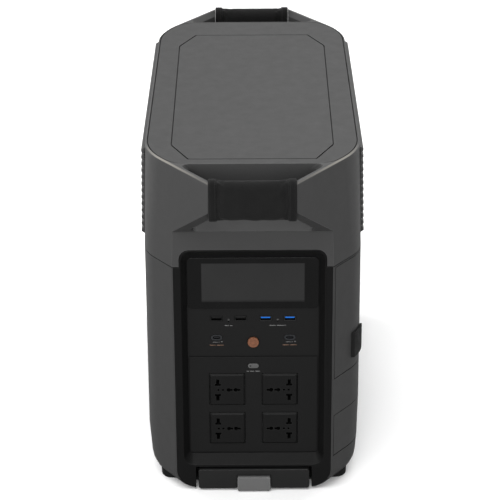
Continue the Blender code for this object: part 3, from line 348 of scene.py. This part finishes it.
def louvre_plastic(name, level):
    """Cap plastic with painted shade in the slots between the ribs."""
    material = moulded(name, level, 0.56)
    n = Nodes.reopen(material)
    low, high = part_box("louvre_left")
    pitch = (high.z - low.z) / RIB_COUNT
    z = n.axes()[2]
    step = n.math("FRACT", n.math("DIVIDE", n.math("SUBTRACT", z, low.z), pitch))
    from_peak = n.math("ABSOLUTE", n.math("SUBTRACT", step, 0.5))
    below_top = n.ramp(z, high.z - pitch * 0.4, high.z - pitch * 0.5)
    # Painted shade: a dark band in the valleys between the ribs, held off below the top rib
    n.overlay(n.product(n.ramp(from_peak, 0.40, 0.46), below_top), grey(16))
    return material


def port_plastic(name):
    """Black port body with a blue tongue."""
    material = moulded(name, 26, 0.4, grain=0.01, wear_and_highlight=0.1)
    n = Nodes.reopen(material)
    x, _, z = n.axes()
    across = []
    for port in ("usb_a_port_3", "usb_a_port_4"):
        low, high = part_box(port)
        half_x = (high.x - low.x) / 2 - 1.4 * MM
        across.append(n.band(x, (low.x + high.x) / 2, half_x, half_x + 0.1 * MM))
    level = n.band(z, (low.z + high.z) / 2 + 1.1 * MM, 0.85 * MM, 0.95 * MM)
    n.overlay(n.product(n.math("MAXIMUM", *across), level), srgb(18, 105, 200))
    return material


def disc_key(name, node, colour, ring_mm, dark, roughness, metallic):
    """Button face with one engraved ring about its middle."""
    material = metal(name, colour, roughness, (1.0, 0.05, 1.0), metallic)
    n = Nodes.reopen(material)
    low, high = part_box(node)
    away = n.radius((low.x + high.x) / 2, (low.z + high.z) / 2)
    ring = n.band(away, ring_mm * MM, 0.2 * MM, 0.35 * MM)
    n.overlay(n.math("MULTIPLY", ring, 0.45), dark)
    return material


def circuit_board(name):
    """Green board with a grid of lighter tracks."""
    n = Nodes(name)
    brick = n.add("ShaderNodeTexBrick")
    n.link(n.place, brick.inputs["Vector"])
    brick.inputs["Scale"].default_value = 90.0
    brick.inputs["Color1"].default_value = srgb(20, 70, 42)
    brick.inputs["Color2"].default_value = srgb(28, 88, 52)
    brick.inputs["Mortar"].default_value = srgb(70, 120, 70)
    colour = n.mix(n.ramp(n.noise(220.0, 3.0), 0.5, 0.6), brick.outputs["Color"], srgb(24, 60, 38))
    n.link(colour, n.shader.inputs["Base Color"])
    n.link(n.ramp(n.noise(60.0, 3.0), 0.3, 0.7, 0.3, 0.5), n.shader.inputs["Roughness"])
    n.link(n.bump(n.noise(300.0, 2.0), 0.1 * MM), n.shader.inputs["Normal"])
    return n.material


# The display's lit field
CELL_HALF_X = 61.5 * MM
CELL_Z = 279.8 * MM
CELL_HALF_Z = 25.3 * MM
RIB_COUNT = 13            # ribs of one louvre

MATERIALS = {
    "lid": moulded("lid_plastic", 56, 0.62, gloss=0.2, seam=0.9),
    "cap": cap_plastic("cap_plastic", 54),
    "body": moulded("body_plastic", 51, 0.55, gloss=0.25, seam=0.9),
    "black": moulded("black_plastic", 14, 0.46, wear_and_highlight=1.0, gloss=0.09, seam=0.3),
    "trolley": moulded("trolley_plastic", 25, 0.42, wear_and_highlight=0.7, gloss=0.2, seam=0.3),
    "panel": moulded("panel_plastic", 16, 0.5, wear_and_highlight=0.4, gloss=0.15),
    "socket": moulded("socket_plastic", 16, 0.45, grain=0.02, wear_and_highlight=1.0, gloss=0.12),
    "grey": moulded("grey_plastic", 90, 0.42, grain=0.03, wear_and_highlight=1.0, seam=0.3),
    "key": dotted_key("key_plastic", 74, "ac_button"),
    "louvre": louvre_plastic("louvre_plastic", 58),
    "blue": port_plastic("port_plastic"),
    "dark_metal": metal("port_shell", srgb(58, 59, 61), 0.5, (1.0, 1.0, 0.1)),
    "ink": moulded("mark_ink", 100, 0.6, grain=0.01, wear_and_highlight=0.0),
    "copper_ink": moulded("copper_ink", 92, 0.6, grain=0.01, tint=(1.25, 0.75, 0.5), wear_and_highlight=0.0),
    "thread": woven("seam_thread", 40, 0.3),
    "binding": woven("grip_binding", 15, 0.7),
    "rubber": rubber("foot_rubber", 18),
    "tyre": rubber("tyre_rubber", 20),
    "glass": smoked_glass("display_glass"),
    "fabric": woven("grip_fabric", 17),
    "copper": disc_key(
        "copper_anodised", "power_button", srgb(122, 78, 55), 3.2, srgb(92, 56, 40), 0.42, 0.4
    ),
    "steel": metal("steel_drawn", srgb(176, 177, 180), 0.34, (1.0, 0.04, 1.0)),
    "aluminium": metal("aluminium_brushed", srgb(184, 186, 190), 0.38, (0.05, 1.0, 1.0)),
    "board": circuit_board("board_mask"),
}

LOOKS = {
    "lid": ["lid_panel", "lid_inlay"],
    "cap": ["top_cap"],
    "louvre": ["louvre_left", "louvre_right"],
    "body": ["lower_shell", "base_tray", "side_door", "side_lower_cover", "rear_flap"],
    "black": [
        "front_frame", "rear_frame", "wheel_hub_left", "wheel_hub_right",
        "front_grip_core", "rear_grip_core", "fan_frame_left", "fan_frame_right",
        "fan_rotor_left", "fan_rotor_right", "side_port_panel",
    ],
    "trolley": ["trolley_grip"],
    "panel": ["front_panel", "rear_panel", "ac_outlet_plate"],
    "socket": [
        "ac_outlet_1", "ac_outlet_2", "ac_outlet_3", "ac_outlet_4", "ac_inlet", "solar_inlet",
        "usb_a_port_1", "usb_a_port_2", "display_module",
    ],
    "dark_metal": ["usb_c_port_1", "usb_c_port_2"],
    "blue": ["usb_a_port_3", "usb_a_port_4"],
    "grey": ["release_lever", "reset_button", "charge_switch"],
    "key": ["ac_button"],
    "rubber": ["foot_left", "foot_right", "side_door_latch", "side_door_hinge"],
    "tyre": ["wheel_tyre_left", "wheel_tyre_right"],
    "glass": ["display_glass"],
    "fabric": ["front_grip_wrap", "rear_grip_wrap"],
    "copper": ["power_button"],
    "steel": ["axle", "rail_guide_left", "rail_guide_right"],
    "aluminium": ["trolley_rail_left", "trolley_rail_right", "inverter_module", "battery_pack"],
    "board": ["control_board"],
}

# Width of the rounded edges, in millimetres, where a node doesn't take the usual one
EDGE_MM = 0.5
EDGES_MM = {
    "display_glass": 0.3,
    "lid_panel": 0.4,
    "lid_inlay": 0.3,
    "top_cap": 0.8,
    "louvre_left": 0.7,
    "louvre_right": 0.7,
    "trolley_grip": 1.2,
    "release_lever": 1.2,
    "front_frame": 1.6,
    "rear_frame": 1.6,
    "power_button": 0.7,
    "ac_button": 0.7,
    "ac_outlet_plate": 0.3,
}
FINE_EDGE_MM = 0.12
for kind, count in (("usb_a_port", 4), ("usb_c_port", 2)):
    EDGES_MM.update({f"{kind}_{i}": FINE_EDGE_MM for i in range(1, count + 1)})
WELD_DISTANCE = 0.01 * MM


def dress_nodes():
    """Give every node its material and rounded edges."""
    for look, names in LOOKS.items():
        for name in names:
            thing = nodes[name]
            thing.data.materials.clear()
            thing.data.materials.append(MATERIALS[look])
            round_edges(thing, EDGES_MM.get(name, EDGE_MM))


def soften(thing, width_mm, angle=35.0):
    """Round the edges that are sharper than an angle in degrees."""
    bevel = thing.modifiers.new("edge", "BEVEL")
    bevel.width = width_mm * MM
    bevel.segments = 2
    bevel.limit_method = "ANGLE"
    bevel.angle_limit = math.radians(angle)
    thing.modifiers.new("normals", "WEIGHTED_NORMAL")


def round_edges(thing, width_mm):
    """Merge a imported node's facets, round its edges and shade it smooth."""
    weld = thing.modifiers.new("weld", "WELD")
    weld.merge_threshold = WELD_DISTANCE
    soften(thing, width_mm, 28.0)
    for polygon in thing.data.polygons:
        polygon.use_smooth = True


# ---- New pieces ----
def add_piece(name, bm, material, body):
    """Turn a bmesh into a smooth piece that rides on a body."""
    bmesh.ops.recalc_face_normals(bm, faces=bm.faces)
    mesh = bpy.data.meshes.new(name)
    bm.to_mesh(mesh)
    bm.free()
    mesh.shade_smooth()
    mesh.materials.append(material)
    thing = bpy.data.objects.new(name, mesh)
    scene.collection.objects.link(thing)
    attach(thing, body)
    return thing


def bridge(bm, lower, upper):
    """Quads between two rings of vertices."""
    count = len(lower)
    for i in range(count):
        j = (i + 1) % count
        bm.faces.new((lower[i], lower[j], upper[j], upper[i]))


def sheet(bm, rows):
    """Join rings of points into a tube, and return the rings of vertices."""
    made = [[bm.verts.new(point) for point in row] for row in rows]
    for lower, upper in zip(made, made[1:]):
        bridge(bm, lower, upper)
    return made


def closed_sheet(bm, rows):
    """Join rings of points into a tube whose last ring meets the first again."""
    made = sheet(bm, rows)
    bridge(bm, made[-1], made[0])


def capped_sheet(bm, rows):
    """Join rings of points into a tube and close both of its ends."""
    made = sheet(bm, rows)
    bm.faces.new(made[0])
    bm.faces.new(made[-1])


ARC_STEPS = 12


def rounded_loop(half_u, half_v, radius, count):
    """Evenly spaced points round a round-cornered rectangle, each with its outward direction."""
    dense = []
    for corner, (side_u, side_v) in enumerate(((1, 1), (-1, 1), (-1, -1), (1, -1))):
        for i in range(ARC_STEPS + 1):
            angle = math.pi / 2 * (corner + i / ARC_STEPS)
            out = Vector((math.cos(angle), math.sin(angle)))
            centre = Vector((side_u * (half_u - radius), side_v * (half_v - radius)))
            dense.append((centre + out * radius, out))
    dense.append(dense[0])
    steps = [(b[0] - a[0]).length for a, b in zip(dense, dense[1:])]
    pitch = sum(steps) / count
    loop = []
    walked = 0.0
    for (start, out), (end, next_out), step in zip(dense, dense[1:], steps):
        while step > 0 and len(loop) < count and len(loop) * pitch <= walked + step:
            share = (len(loop) * pitch - walked) / step
            loop.append((start.lerp(end, share), out.lerp(next_out, share).normalized()))
        walked += step
    return loop


def smooth_step(value, low, high):
    share = min(1.0, max(0.0, (value - low) / (high - low)))
    return share * share * (3 - 2 * share)


# ---- Fabric grips ----
BAND = 9.5 * MM           # width of the bound edge at each end
BAND_ROUND = 72
BAND_INSET = 0.2 * MM
SLEEVE_COLUMNS = 76
SLEEVE_ROUND = 60
SLEEVE_START = 1.5 * MM   # how far inside the solid the tube starts
SLEEVE_SWELL = 2.3 * MM   # and how far it may swell
CORNER_R = 8.0 * MM
CLOTH_STEPS = 18
WAVE = 1.5 * MM
FOLD = 8 * MM             # over which the waves fade


def sleeve_frame(node):
    """Middle and half sizes of a grip wrap's solid."""
    low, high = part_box(node)
    return (low + high) / 2, (high - low) / 2


def sleeve_rows(middle, half):
    """Tube about the bar, a little inside the wrap's solid, with slack between the end bands."""
    start = SLEEVE_START
    loop = rounded_loop(half.y - start, half.z - start, CORNER_R - start, SLEEVE_ROUND)
    rows = []
    for i in range(SLEEVE_COLUMNS + 1):
        x = half.x * (2 * i / SLEEVE_COLUMNS - 1)
        rows.append([(middle.x + x, middle.y + p.x, middle.z + p.y) for p, out in loop])
    return rows


def swell(thing, held, limit):
    """Let pressure fill the cloth while the held points stay, then keep the result in the mesh."""
    group = thing.vertex_groups.new(name="held")
    group.add(held, 1.0, "REPLACE")
    start = [v.co.copy() for v in thing.data.vertices]
    cloth = thing.modifiers.new("cloth", "CLOTH")
    settings = cloth.settings
    settings.quality = 5
    settings.mass = 0.15
    settings.tension_stiffness = 12
    settings.compression_stiffness = 12
    settings.shear_stiffness = 4
    settings.bending_stiffness = 0.4
    settings.vertex_group_mass = "held"
    settings.use_pressure = True
    settings.uniform_pressure_force = 4.0
    settings.shrink_min = -0.025
    settings.effector_weights.gravity = 0.0
    for step in range(1, CLOTH_STEPS + 1):
        scene.frame_set(step)
    shaped = thing.evaluated_get(bpy.context.evaluated_depsgraph_get())
    moved = [v.co.copy() for v in shaped.data.vertices]
    thing.modifiers.remove(cloth)
    scene.frame_set(1)
    for vertex, before, after in zip(thing.data.vertices, start, moved):
        shift = after - before
        if shift.length > limit:
            shift *= limit / shift.length
        vertex.co = before + shift


def wave_underside(thing, middle, half):
    """The lower fold of the sleeve hangs in shallow waves."""
    inner = half.x - BAND
    for vertex in thing.data.vertices:
        x = vertex.co.x - middle.x
        drop = smooth_step(middle.z - vertex.co.z, half.z - FOLD, half.z)
        fade = smooth_step(inner - abs(x), 0.0, FOLD)
        wave = 0.5 + 0.5 * math.sin(x / (5.1 * MM) + 0.7) * math.cos(x / (13.0 * MM) + 0.4)
        vertex.co.z -= WAVE * drop * fade * wave


def make_sleeve(name, node, body):
    """One grip's fabric sleeve in place of its solid wrap, with bound ends."""
    middle, half = sleeve_frame(node)
    bm = bmesh.new()
    sheet(bm, sleeve_rows(middle, half))
    thing = add_piece(name, bm, MATERIALS["fabric"], body)
    seam = half.x - BAND
    held = [v.index for v in thing.data.vertices if abs(v.co.x - middle.x) > seam - 0.6 * MM]
    swell(thing, held, SLEEVE_SWELL)
    wave_underside(thing, middle, half)
    close_ends(thing, middle, half)
    thick = thing.modifiers.new("thickness", "SOLIDIFY")
    thick.thickness = 1.2 * MM
    thick.offset = -1.0
    fine = thing.modifiers.new("fine", "SUBSURF")
    fine.levels = 1
    fine.render_levels = 1
    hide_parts(node)
    make_bands(name, middle, half, body)


def close_ends(thing, middle, half):
    """Turn the sleeve's ends in towards the bar."""
    bm = bmesh.new()
    bm.from_mesh(thing.data)
    edges = [e for e in bm.edges if e.is_boundary]
    made = bmesh.ops.extrude_edge_only(bm, edges=edges)["geom"]
    for vertex in [g for g in made if isinstance(g, bmesh.types.BMVert)]:
        vertex.co.y = middle.y + (vertex.co.y - middle.y) * 0.66
        vertex.co.z = middle.z + (vertex.co.z - middle.z) * 0.80
    bmesh.ops.recalc_face_normals(bm, faces=bm.faces)
    bm.to_mesh(thing.data)
    bm.free()
    thing.data.shade_smooth()


# Share of the band's width, and height over the wrap's solid in millimetres
BAND_PROFILE = (
    (0.0, -1.4), (0.02, -0.7), (0.10, -0.25), (0.5, -0.1), (0.90, -0.25), (0.98, -0.7), (1.0, -1.4),
)
STITCH_ROWS = (0.2, 0.8)


def band_x(middle, half, side, share):
    """Place across the grip, from the inner edge of a band to its outer edge."""
    return middle.x + side * (half.x - BAND_INSET - BAND * (1 - share))


def make_bands(name, middle, half, body):
    """Bound edges sewn over both ends of a sleeve, with two rows of stitches each."""
    bands = bmesh.new()
    threads = bmesh.new()
    for side in (-1, 1):
        rows = []
        for share, lift in BAND_PROFILE:
            grow = lift * MM
            x = band_x(middle, half, side, share)
            loop = rounded_loop(half.y + grow, half.z + grow, CORNER_R + grow, BAND_ROUND)
            rows.append([(x, middle.y + p.x, middle.z + p.y) for p, out in loop])
        closed_sheet(bands, rows)
        for share in STITCH_ROWS:
            stitch_round(threads, band_x(middle, half, side, share), middle, half)
    add_piece(f"{name}_bands", bands, MATERIALS["binding"], body)
    add_piece(f"{name}_stitches", threads, MATERIALS["thread"], body)


STITCHES = 48
STITCH_POINTS = 4         # points of the loop for each stitch and its gap
STITCH_LENGTH = 0.62      # share of the pitch
STITCH_R = 0.32 * MM
STITCH_SIDES = 6
STITCH_SINK = 0.1 * MM
STITCH_TAPER = ((0.0, 0.15), (0.2, 0.9), (0.5, 1.0), (0.8, 0.9), (1.0, 0.15))


def stitch_round(bm, x, middle, half):
    """One row of short threads round the grip."""
    points = STITCH_POINTS
    loop = rounded_loop(half.y - STITCH_SINK, half.z - STITCH_SINK, CORNER_R, STITCHES * points)
    for i in range(STITCHES):
        start, out = loop[i * points]
        end = loop[(i * points + points - 1) % len(loop)][0]
        pitch = (end - start) * points / (points - 1)
        rows = []
        for share, girth in STITCH_TAPER:
            base = start + pitch * share * STITCH_LENGTH
            row = []
            for j in range(STITCH_SIDES):
                angle = math.tau * j / STITCH_SIDES
                side = math.cos(angle) * STITCH_R * girth
                point = base + out * math.sin(angle) * STITCH_R * girth
                row.append((x + side, middle.y + point.x, middle.z + point.y))
            rows.append(row)
        capped_sheet(bm, rows)


# ---- Printed marks ----
INK = 0.06 * MM           # thickness of a mark
INK_GAP = 0.02 * MM       # between a mark and its panel
PILL_STEPS = 6
RING_STEPS = 20


def flat_pill(bm, x, z, width, height, front, sign=-1):
    """Thin printed bar with round ends on a vertical panel."""
    radius = height / 2
    half = width / 2 - radius
    outline = []
    for end in (1, -1):
        for i in range(PILL_STEPS + 1):
            angle = math.pi * (i / PILL_STEPS - 0.5) + (0 if end > 0 else math.pi)
            outline.append((x + end * half + radius * math.cos(angle), z + radius * math.sin(angle)))
    rows = [[(u, y, v) for u, v in outline] for y in (front, front + sign * INK)]
    capped_sheet(bm, rows)


def flat_ring(bm, x, z, radius, width, front):
    """Thin printed circle on the outlet panel."""
    rows = []
    inner = radius - width
    for r, y in ((inner, front), (inner, front - INK), (radius, front - INK), (radius, front)):
        row = []
        for i in range(RING_STEPS):
            angle = math.tau * i / RING_STEPS
            row.append((x + r * math.cos(angle), y, z + r * math.sin(angle)))
        rows.append(row)
    closed_sheet(bm, rows)


def dashes(bm, x, z, widths, height, front, sign=-1):
    """Row of bars set close together about x."""
    gap = height * 0.75
    total = sum(widths) + gap * (len(widths) - 1)
    at = x - total / 2
    for width in widths:
        flat_pill(bm, at + width / 2, z, width, height, front, sign)
        at += width + gap


def make_marks():
    """Plain bars and circles where a real unit names its ports: there is no lettering."""
    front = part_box("front_panel")[0].y - INK_GAP
    ports = [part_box(f"usb_a_port_{i}") for i in (1, 2, 3, 4)]
    usb_z = (ports[0][0].z + ports[0][1].z) / 2
    mids = [(low.x + high.x) / 2 for low, high in ports]
    bars = bmesh.new()
    left = (mids[0] + mids[1]) / 2
    right = (mids[2] + mids[3]) / 2
    for x in (left, right):
        flat_ring(bars, x, usb_z - 1.5 * MM, 1.0 * MM, 0.35 * MM, front)
        flat_pill(bars, x, usb_z - 3.9 * MM, 0.5 * MM, 1.6 * MM, front)
    dashes(bars, left, usb_z - 9.4 * MM, (5.6 * MM, 3.0 * MM), 1.1 * MM, front)
    dashes(bars, right, usb_z - 9.4 * MM, (8.0 * MM, 11.5 * MM), 1.1 * MM, front)
    key_low, key_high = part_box("ac_button")
    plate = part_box("ac_outlet_plate")[0].y - INK_GAP
    key_x = (key_low.x + key_high.x) / 2
    key_z = key_low.z - 4.6 * MM
    dashes(bars, key_x, key_z, (3.2 * MM, 5.4 * MM, 6.0 * MM), 1.2 * MM, plate)
    copper = bmesh.new()
    for port in ("usb_c_port_1", "usb_c_port_2"):
        low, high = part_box(port)
        x = (low.x + high.x) / 2
        dashes(copper, x, low.z - 6.4 * MM, (8.0 * MM, 8.6 * MM), 1.1 * MM, front)
        dashes(bars, x - 0.6 * MM, low.z - 2.3 * MM, (6.4 * MM, 1.4 * MM), 0.8 * MM, front)
        flat_pill(bars, x + 6.3 * MM, low.z - 1.8 * MM, 2.4 * MM, 1.3 * MM, front)
    add_piece("panel_marks", bars, MATERIALS["ink"], "housing")
    add_piece("panel_marks_copper", copper, MATERIALS["copper_ink"], "housing")
    make_rear_marks()


def make_rear_marks():
    """Plain bars under the switch and the button of the rear panel."""
    bars = bmesh.new()
    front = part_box("rear_panel")[1].y + INK_GAP
    for node, widths in (("charge_switch", (5.0, 7.0)), ("reset_button", (9.0,))):
        low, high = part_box(node)
        x = (low.x + high.x) / 2
        dashes(bars, x, low.z - 6.0 * MM, [w * MM for w in widths], 1.1 * MM, front, 1)
    add_piece("rear_marks", bars, MATERIALS["ink"], "housing")


# ---- Wheels ----
TREADS = 34
TREAD_DEPTH = 1.7 * MM
# Where a tread block starts and ends in its pitch, and whether that corner is on the block
TREAD_STEPS = ((0.0, False), (0.1, True), (0.68, True), (0.78, False))
SPOKES = 6
# Across the hub, from its outer face inwards: depth and share of the spoke's width
SPOKE_SECTION = ((-4.4, 1.25), (-2.4, 1.0), (-1.3, 0.7))
# Along a spoke: distance from the axle and half width
SPOKE_LENGTH = ((12.5, 4.6), (20, 3.4), (28, 3.2), (33.6, 4.8))
# The cap over the axle: depth and radius
HUB_CAP = ((-2.0, 11.5), (-0.9, 11.2), (-0.35, 10.0), (-0.3, 6.0), (-1.2, 5.2), (-1.2, 2.0))
HUB_CAP_STEPS = 40
SHARP_ANGLE = math.radians(40)


def make_tyre(side):
    """Solid tyre with two staggered rows of tread blocks and a groove between them."""
    node = f"wheel_tyre_{side}"
    low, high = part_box(node)
    radius = (high.z - low.z) / 2
    centre = (low + high) / 2
    half = (high.x - low.x) / 2
    bore = radius - 10 * MM
    # Share of the half width, radius, and the shift of the row's blocks, if it has any
    profile = (
        (-1.0, bore, None), (-1.0, radius - 6 * MM, None), (-0.97, radius - 4.2 * MM, None),
        (-0.86, radius - 2.2 * MM, None), (-0.74, radius, 0.0), (-0.12, radius, 0.0),
        (-0.07, radius - TREAD_DEPTH, None), (0.07, radius - TREAD_DEPTH, None),
        (0.12, radius, 0.5), (0.74, radius, 0.5), (0.86, radius - 2.2 * MM, None),
        (0.97, radius - 4.2 * MM, None), (1.0, radius - 6 * MM, None), (1.0, bore, None),
    )
    bm = bmesh.new()
    rows = []
    for share, r, phase in profile:
        row = []
        for block in range(TREADS):
            for step, on_block in TREAD_STEPS:
                angle = math.tau * (block + step + (phase or 0.0)) / TREADS
                reach = r if phase is None or on_block else r - TREAD_DEPTH
                row.append((
                    centre.x + share * half,
                    centre.y + reach * math.cos(angle),
                    centre.z + reach * math.sin(angle),
                ))
        rows.append(row)
    closed_sheet(bm, rows)
    tyre = add_piece(f"tyre_{side}", bm, MATERIALS["tyre"], f"{side}_wheel")
    tyre.data.set_sharp_from_angle(angle=SHARP_ANGLE)
    soften(tyre, 0.25)
    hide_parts(node)


def hub_face(side, sign):
    """Middle of a hub's outer face."""
    low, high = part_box(f"wheel_hub_{side}")
    centre = (low + high) / 2
    return Vector((high.x if sign > 0 else low.x, centre.y, centre.z))


def make_spokes(side, sign):
    """Ribs across the hub's dished face."""
    face = hub_face(side, sign)
    bm = bmesh.new()
    for i in range(SPOKES):
        turn = Matrix.Rotation(math.tau * i / SPOKES, 3, "X")
        rows = []
        for reach, width in SPOKE_LENGTH:
            ring = [(x, -share * width) for x, share in SPOKE_SECTION]
            ring += [(x, share * width) for x, share in reversed(SPOKE_SECTION)]
            rows.append([
                face + Vector((sign * x, 0, 0)) * MM + turn @ Vector((0, across, reach)) * MM
                for x, across in ring
            ])
        capped_sheet(bm, rows)
    spokes = add_piece(
        f"hub_spokes_{side}", bm, MATERIALS["black"], f"{side}_wheel"
    )
    spokes.data.set_sharp_from_angle(angle=SHARP_ANGLE)
    soften(spokes, 0.4)


def make_hub_cap(side, sign):
    """Round cap over the axle's end."""
    face = hub_face(side, sign)
    bm = bmesh.new()
    rows = []
    for x, radius in HUB_CAP:
        row = []
        for i in range(HUB_CAP_STEPS):
            angle = math.tau * i / HUB_CAP_STEPS
            out = Vector((sign * x, radius * math.cos(angle), radius * math.sin(angle)))
            row.append(face + out * MM)
        rows.append(row)
    capped_sheet(bm, rows)
    add_piece(f"hub_cap_{side}", bm, MATERIALS["grey"], f"{side}_wheel")


def make_pieces():
    make_sleeve("front_grip", "front_grip_wrap", "housing")
    make_sleeve("rear_grip", "rear_grip_wrap", "housing")
    make_marks()
    for side, sign in (("left", -1), ("right", 1)):
        make_tyre(side)
        make_spokes(side, sign)
        make_hub_cap(side, sign)


# ---- Stage ----
FLOOR_SIZE = 12.0
LENS = 156.96
LENS_SHIFT = -0.0056
CAMERA_PLACE = (0, -2.5939, 1.4008)
CAMERA_DOWN = 24.7        # degrees below level
CAMERA_ROLL = -0.005      # radians


def make_stage():
    """Pale floor that looks bright to the camera and throws less light back up."""
    bpy.ops.mesh.primitive_plane_add(size=FLOOR_SIZE)
    floor = bpy.context.object
    floor.name = "floor"
    n = Nodes("pale_floor")
    seen = n.add("ShaderNodeLightPath").outputs["Is Camera Ray"]
    surface = n.mix(n.ramp(n.noise(3.0, 3.0), 0.3, 0.7), grey(252), grey(250))
    n.link(n.mix(seen, grey(158), surface), n.shader.inputs["Base Color"])
    n.shader.inputs["Roughness"].default_value = 0.8
    floor.data.materials.append(n.material)


def area_light(name, place, target, size, power):
    """Square soft box turned to a target."""
    data = bpy.data.lights.new(name, "AREA")
    data.shape = "RECTANGLE"
    data.size = size
    data.size_y = size
    data.energy = power
    light = bpy.data.objects.new(name, data)
    scene.collection.objects.link(light)
    light.location = place
    light.rotation_mode = "QUATERNION"
    light.rotation_quaternion = (Vector(target) - Vector(place)).to_track_quat("-Z", "Y")


def make_light():
    """Even sky light with five soft boxes round the object."""
    world = bpy.data.worlds.new("studio")
    scene.world = world
    world.use_nodes = True
    background = world.node_tree.nodes["Background"]
    background.inputs["Color"].default_value = grey(255)
    background.inputs["Strength"].default_value = 0.5
    area_light("key", (-0.9, -1.3, 2.7), (0, 0, 0.2), 2.6, 68)
    area_light("front", (-0.1, -3.4, 1.1), (0, 0, 0.2), 1.3, 60)
    area_light("back", (0.5, 1.8, 2.4), (0, 0, 0.3), 2.2, 44)
    area_light("left", (-2.1, 1.6, 0.7), (0, -0.1, 0.3), 0.9, 36)
    area_light("right", (2.1, 1.6, 0.7), (0, -0.1, 0.3), 0.9, 26)


def make_camera():
    """Seen from the front and above, at the photograph's angle."""
    data = bpy.data.cameras.new("camera")
    data.lens = LENS
    data.shift_x = LENS_SHIFT
    camera = bpy.data.objects.new("camera", data)
    scene.collection.objects.link(camera)
    tilt = Matrix.Rotation(math.radians(90 - CAMERA_DOWN), 4, "X")
    roll = Matrix.Rotation(CAMERA_ROLL, 4, "Z")
    camera.matrix_world = Matrix.Translation(CAMERA_PLACE) @ tilt @ roll
    scene.camera = camera


dress_nodes()
make_pieces()
make_stage()
make_light()
make_camera()
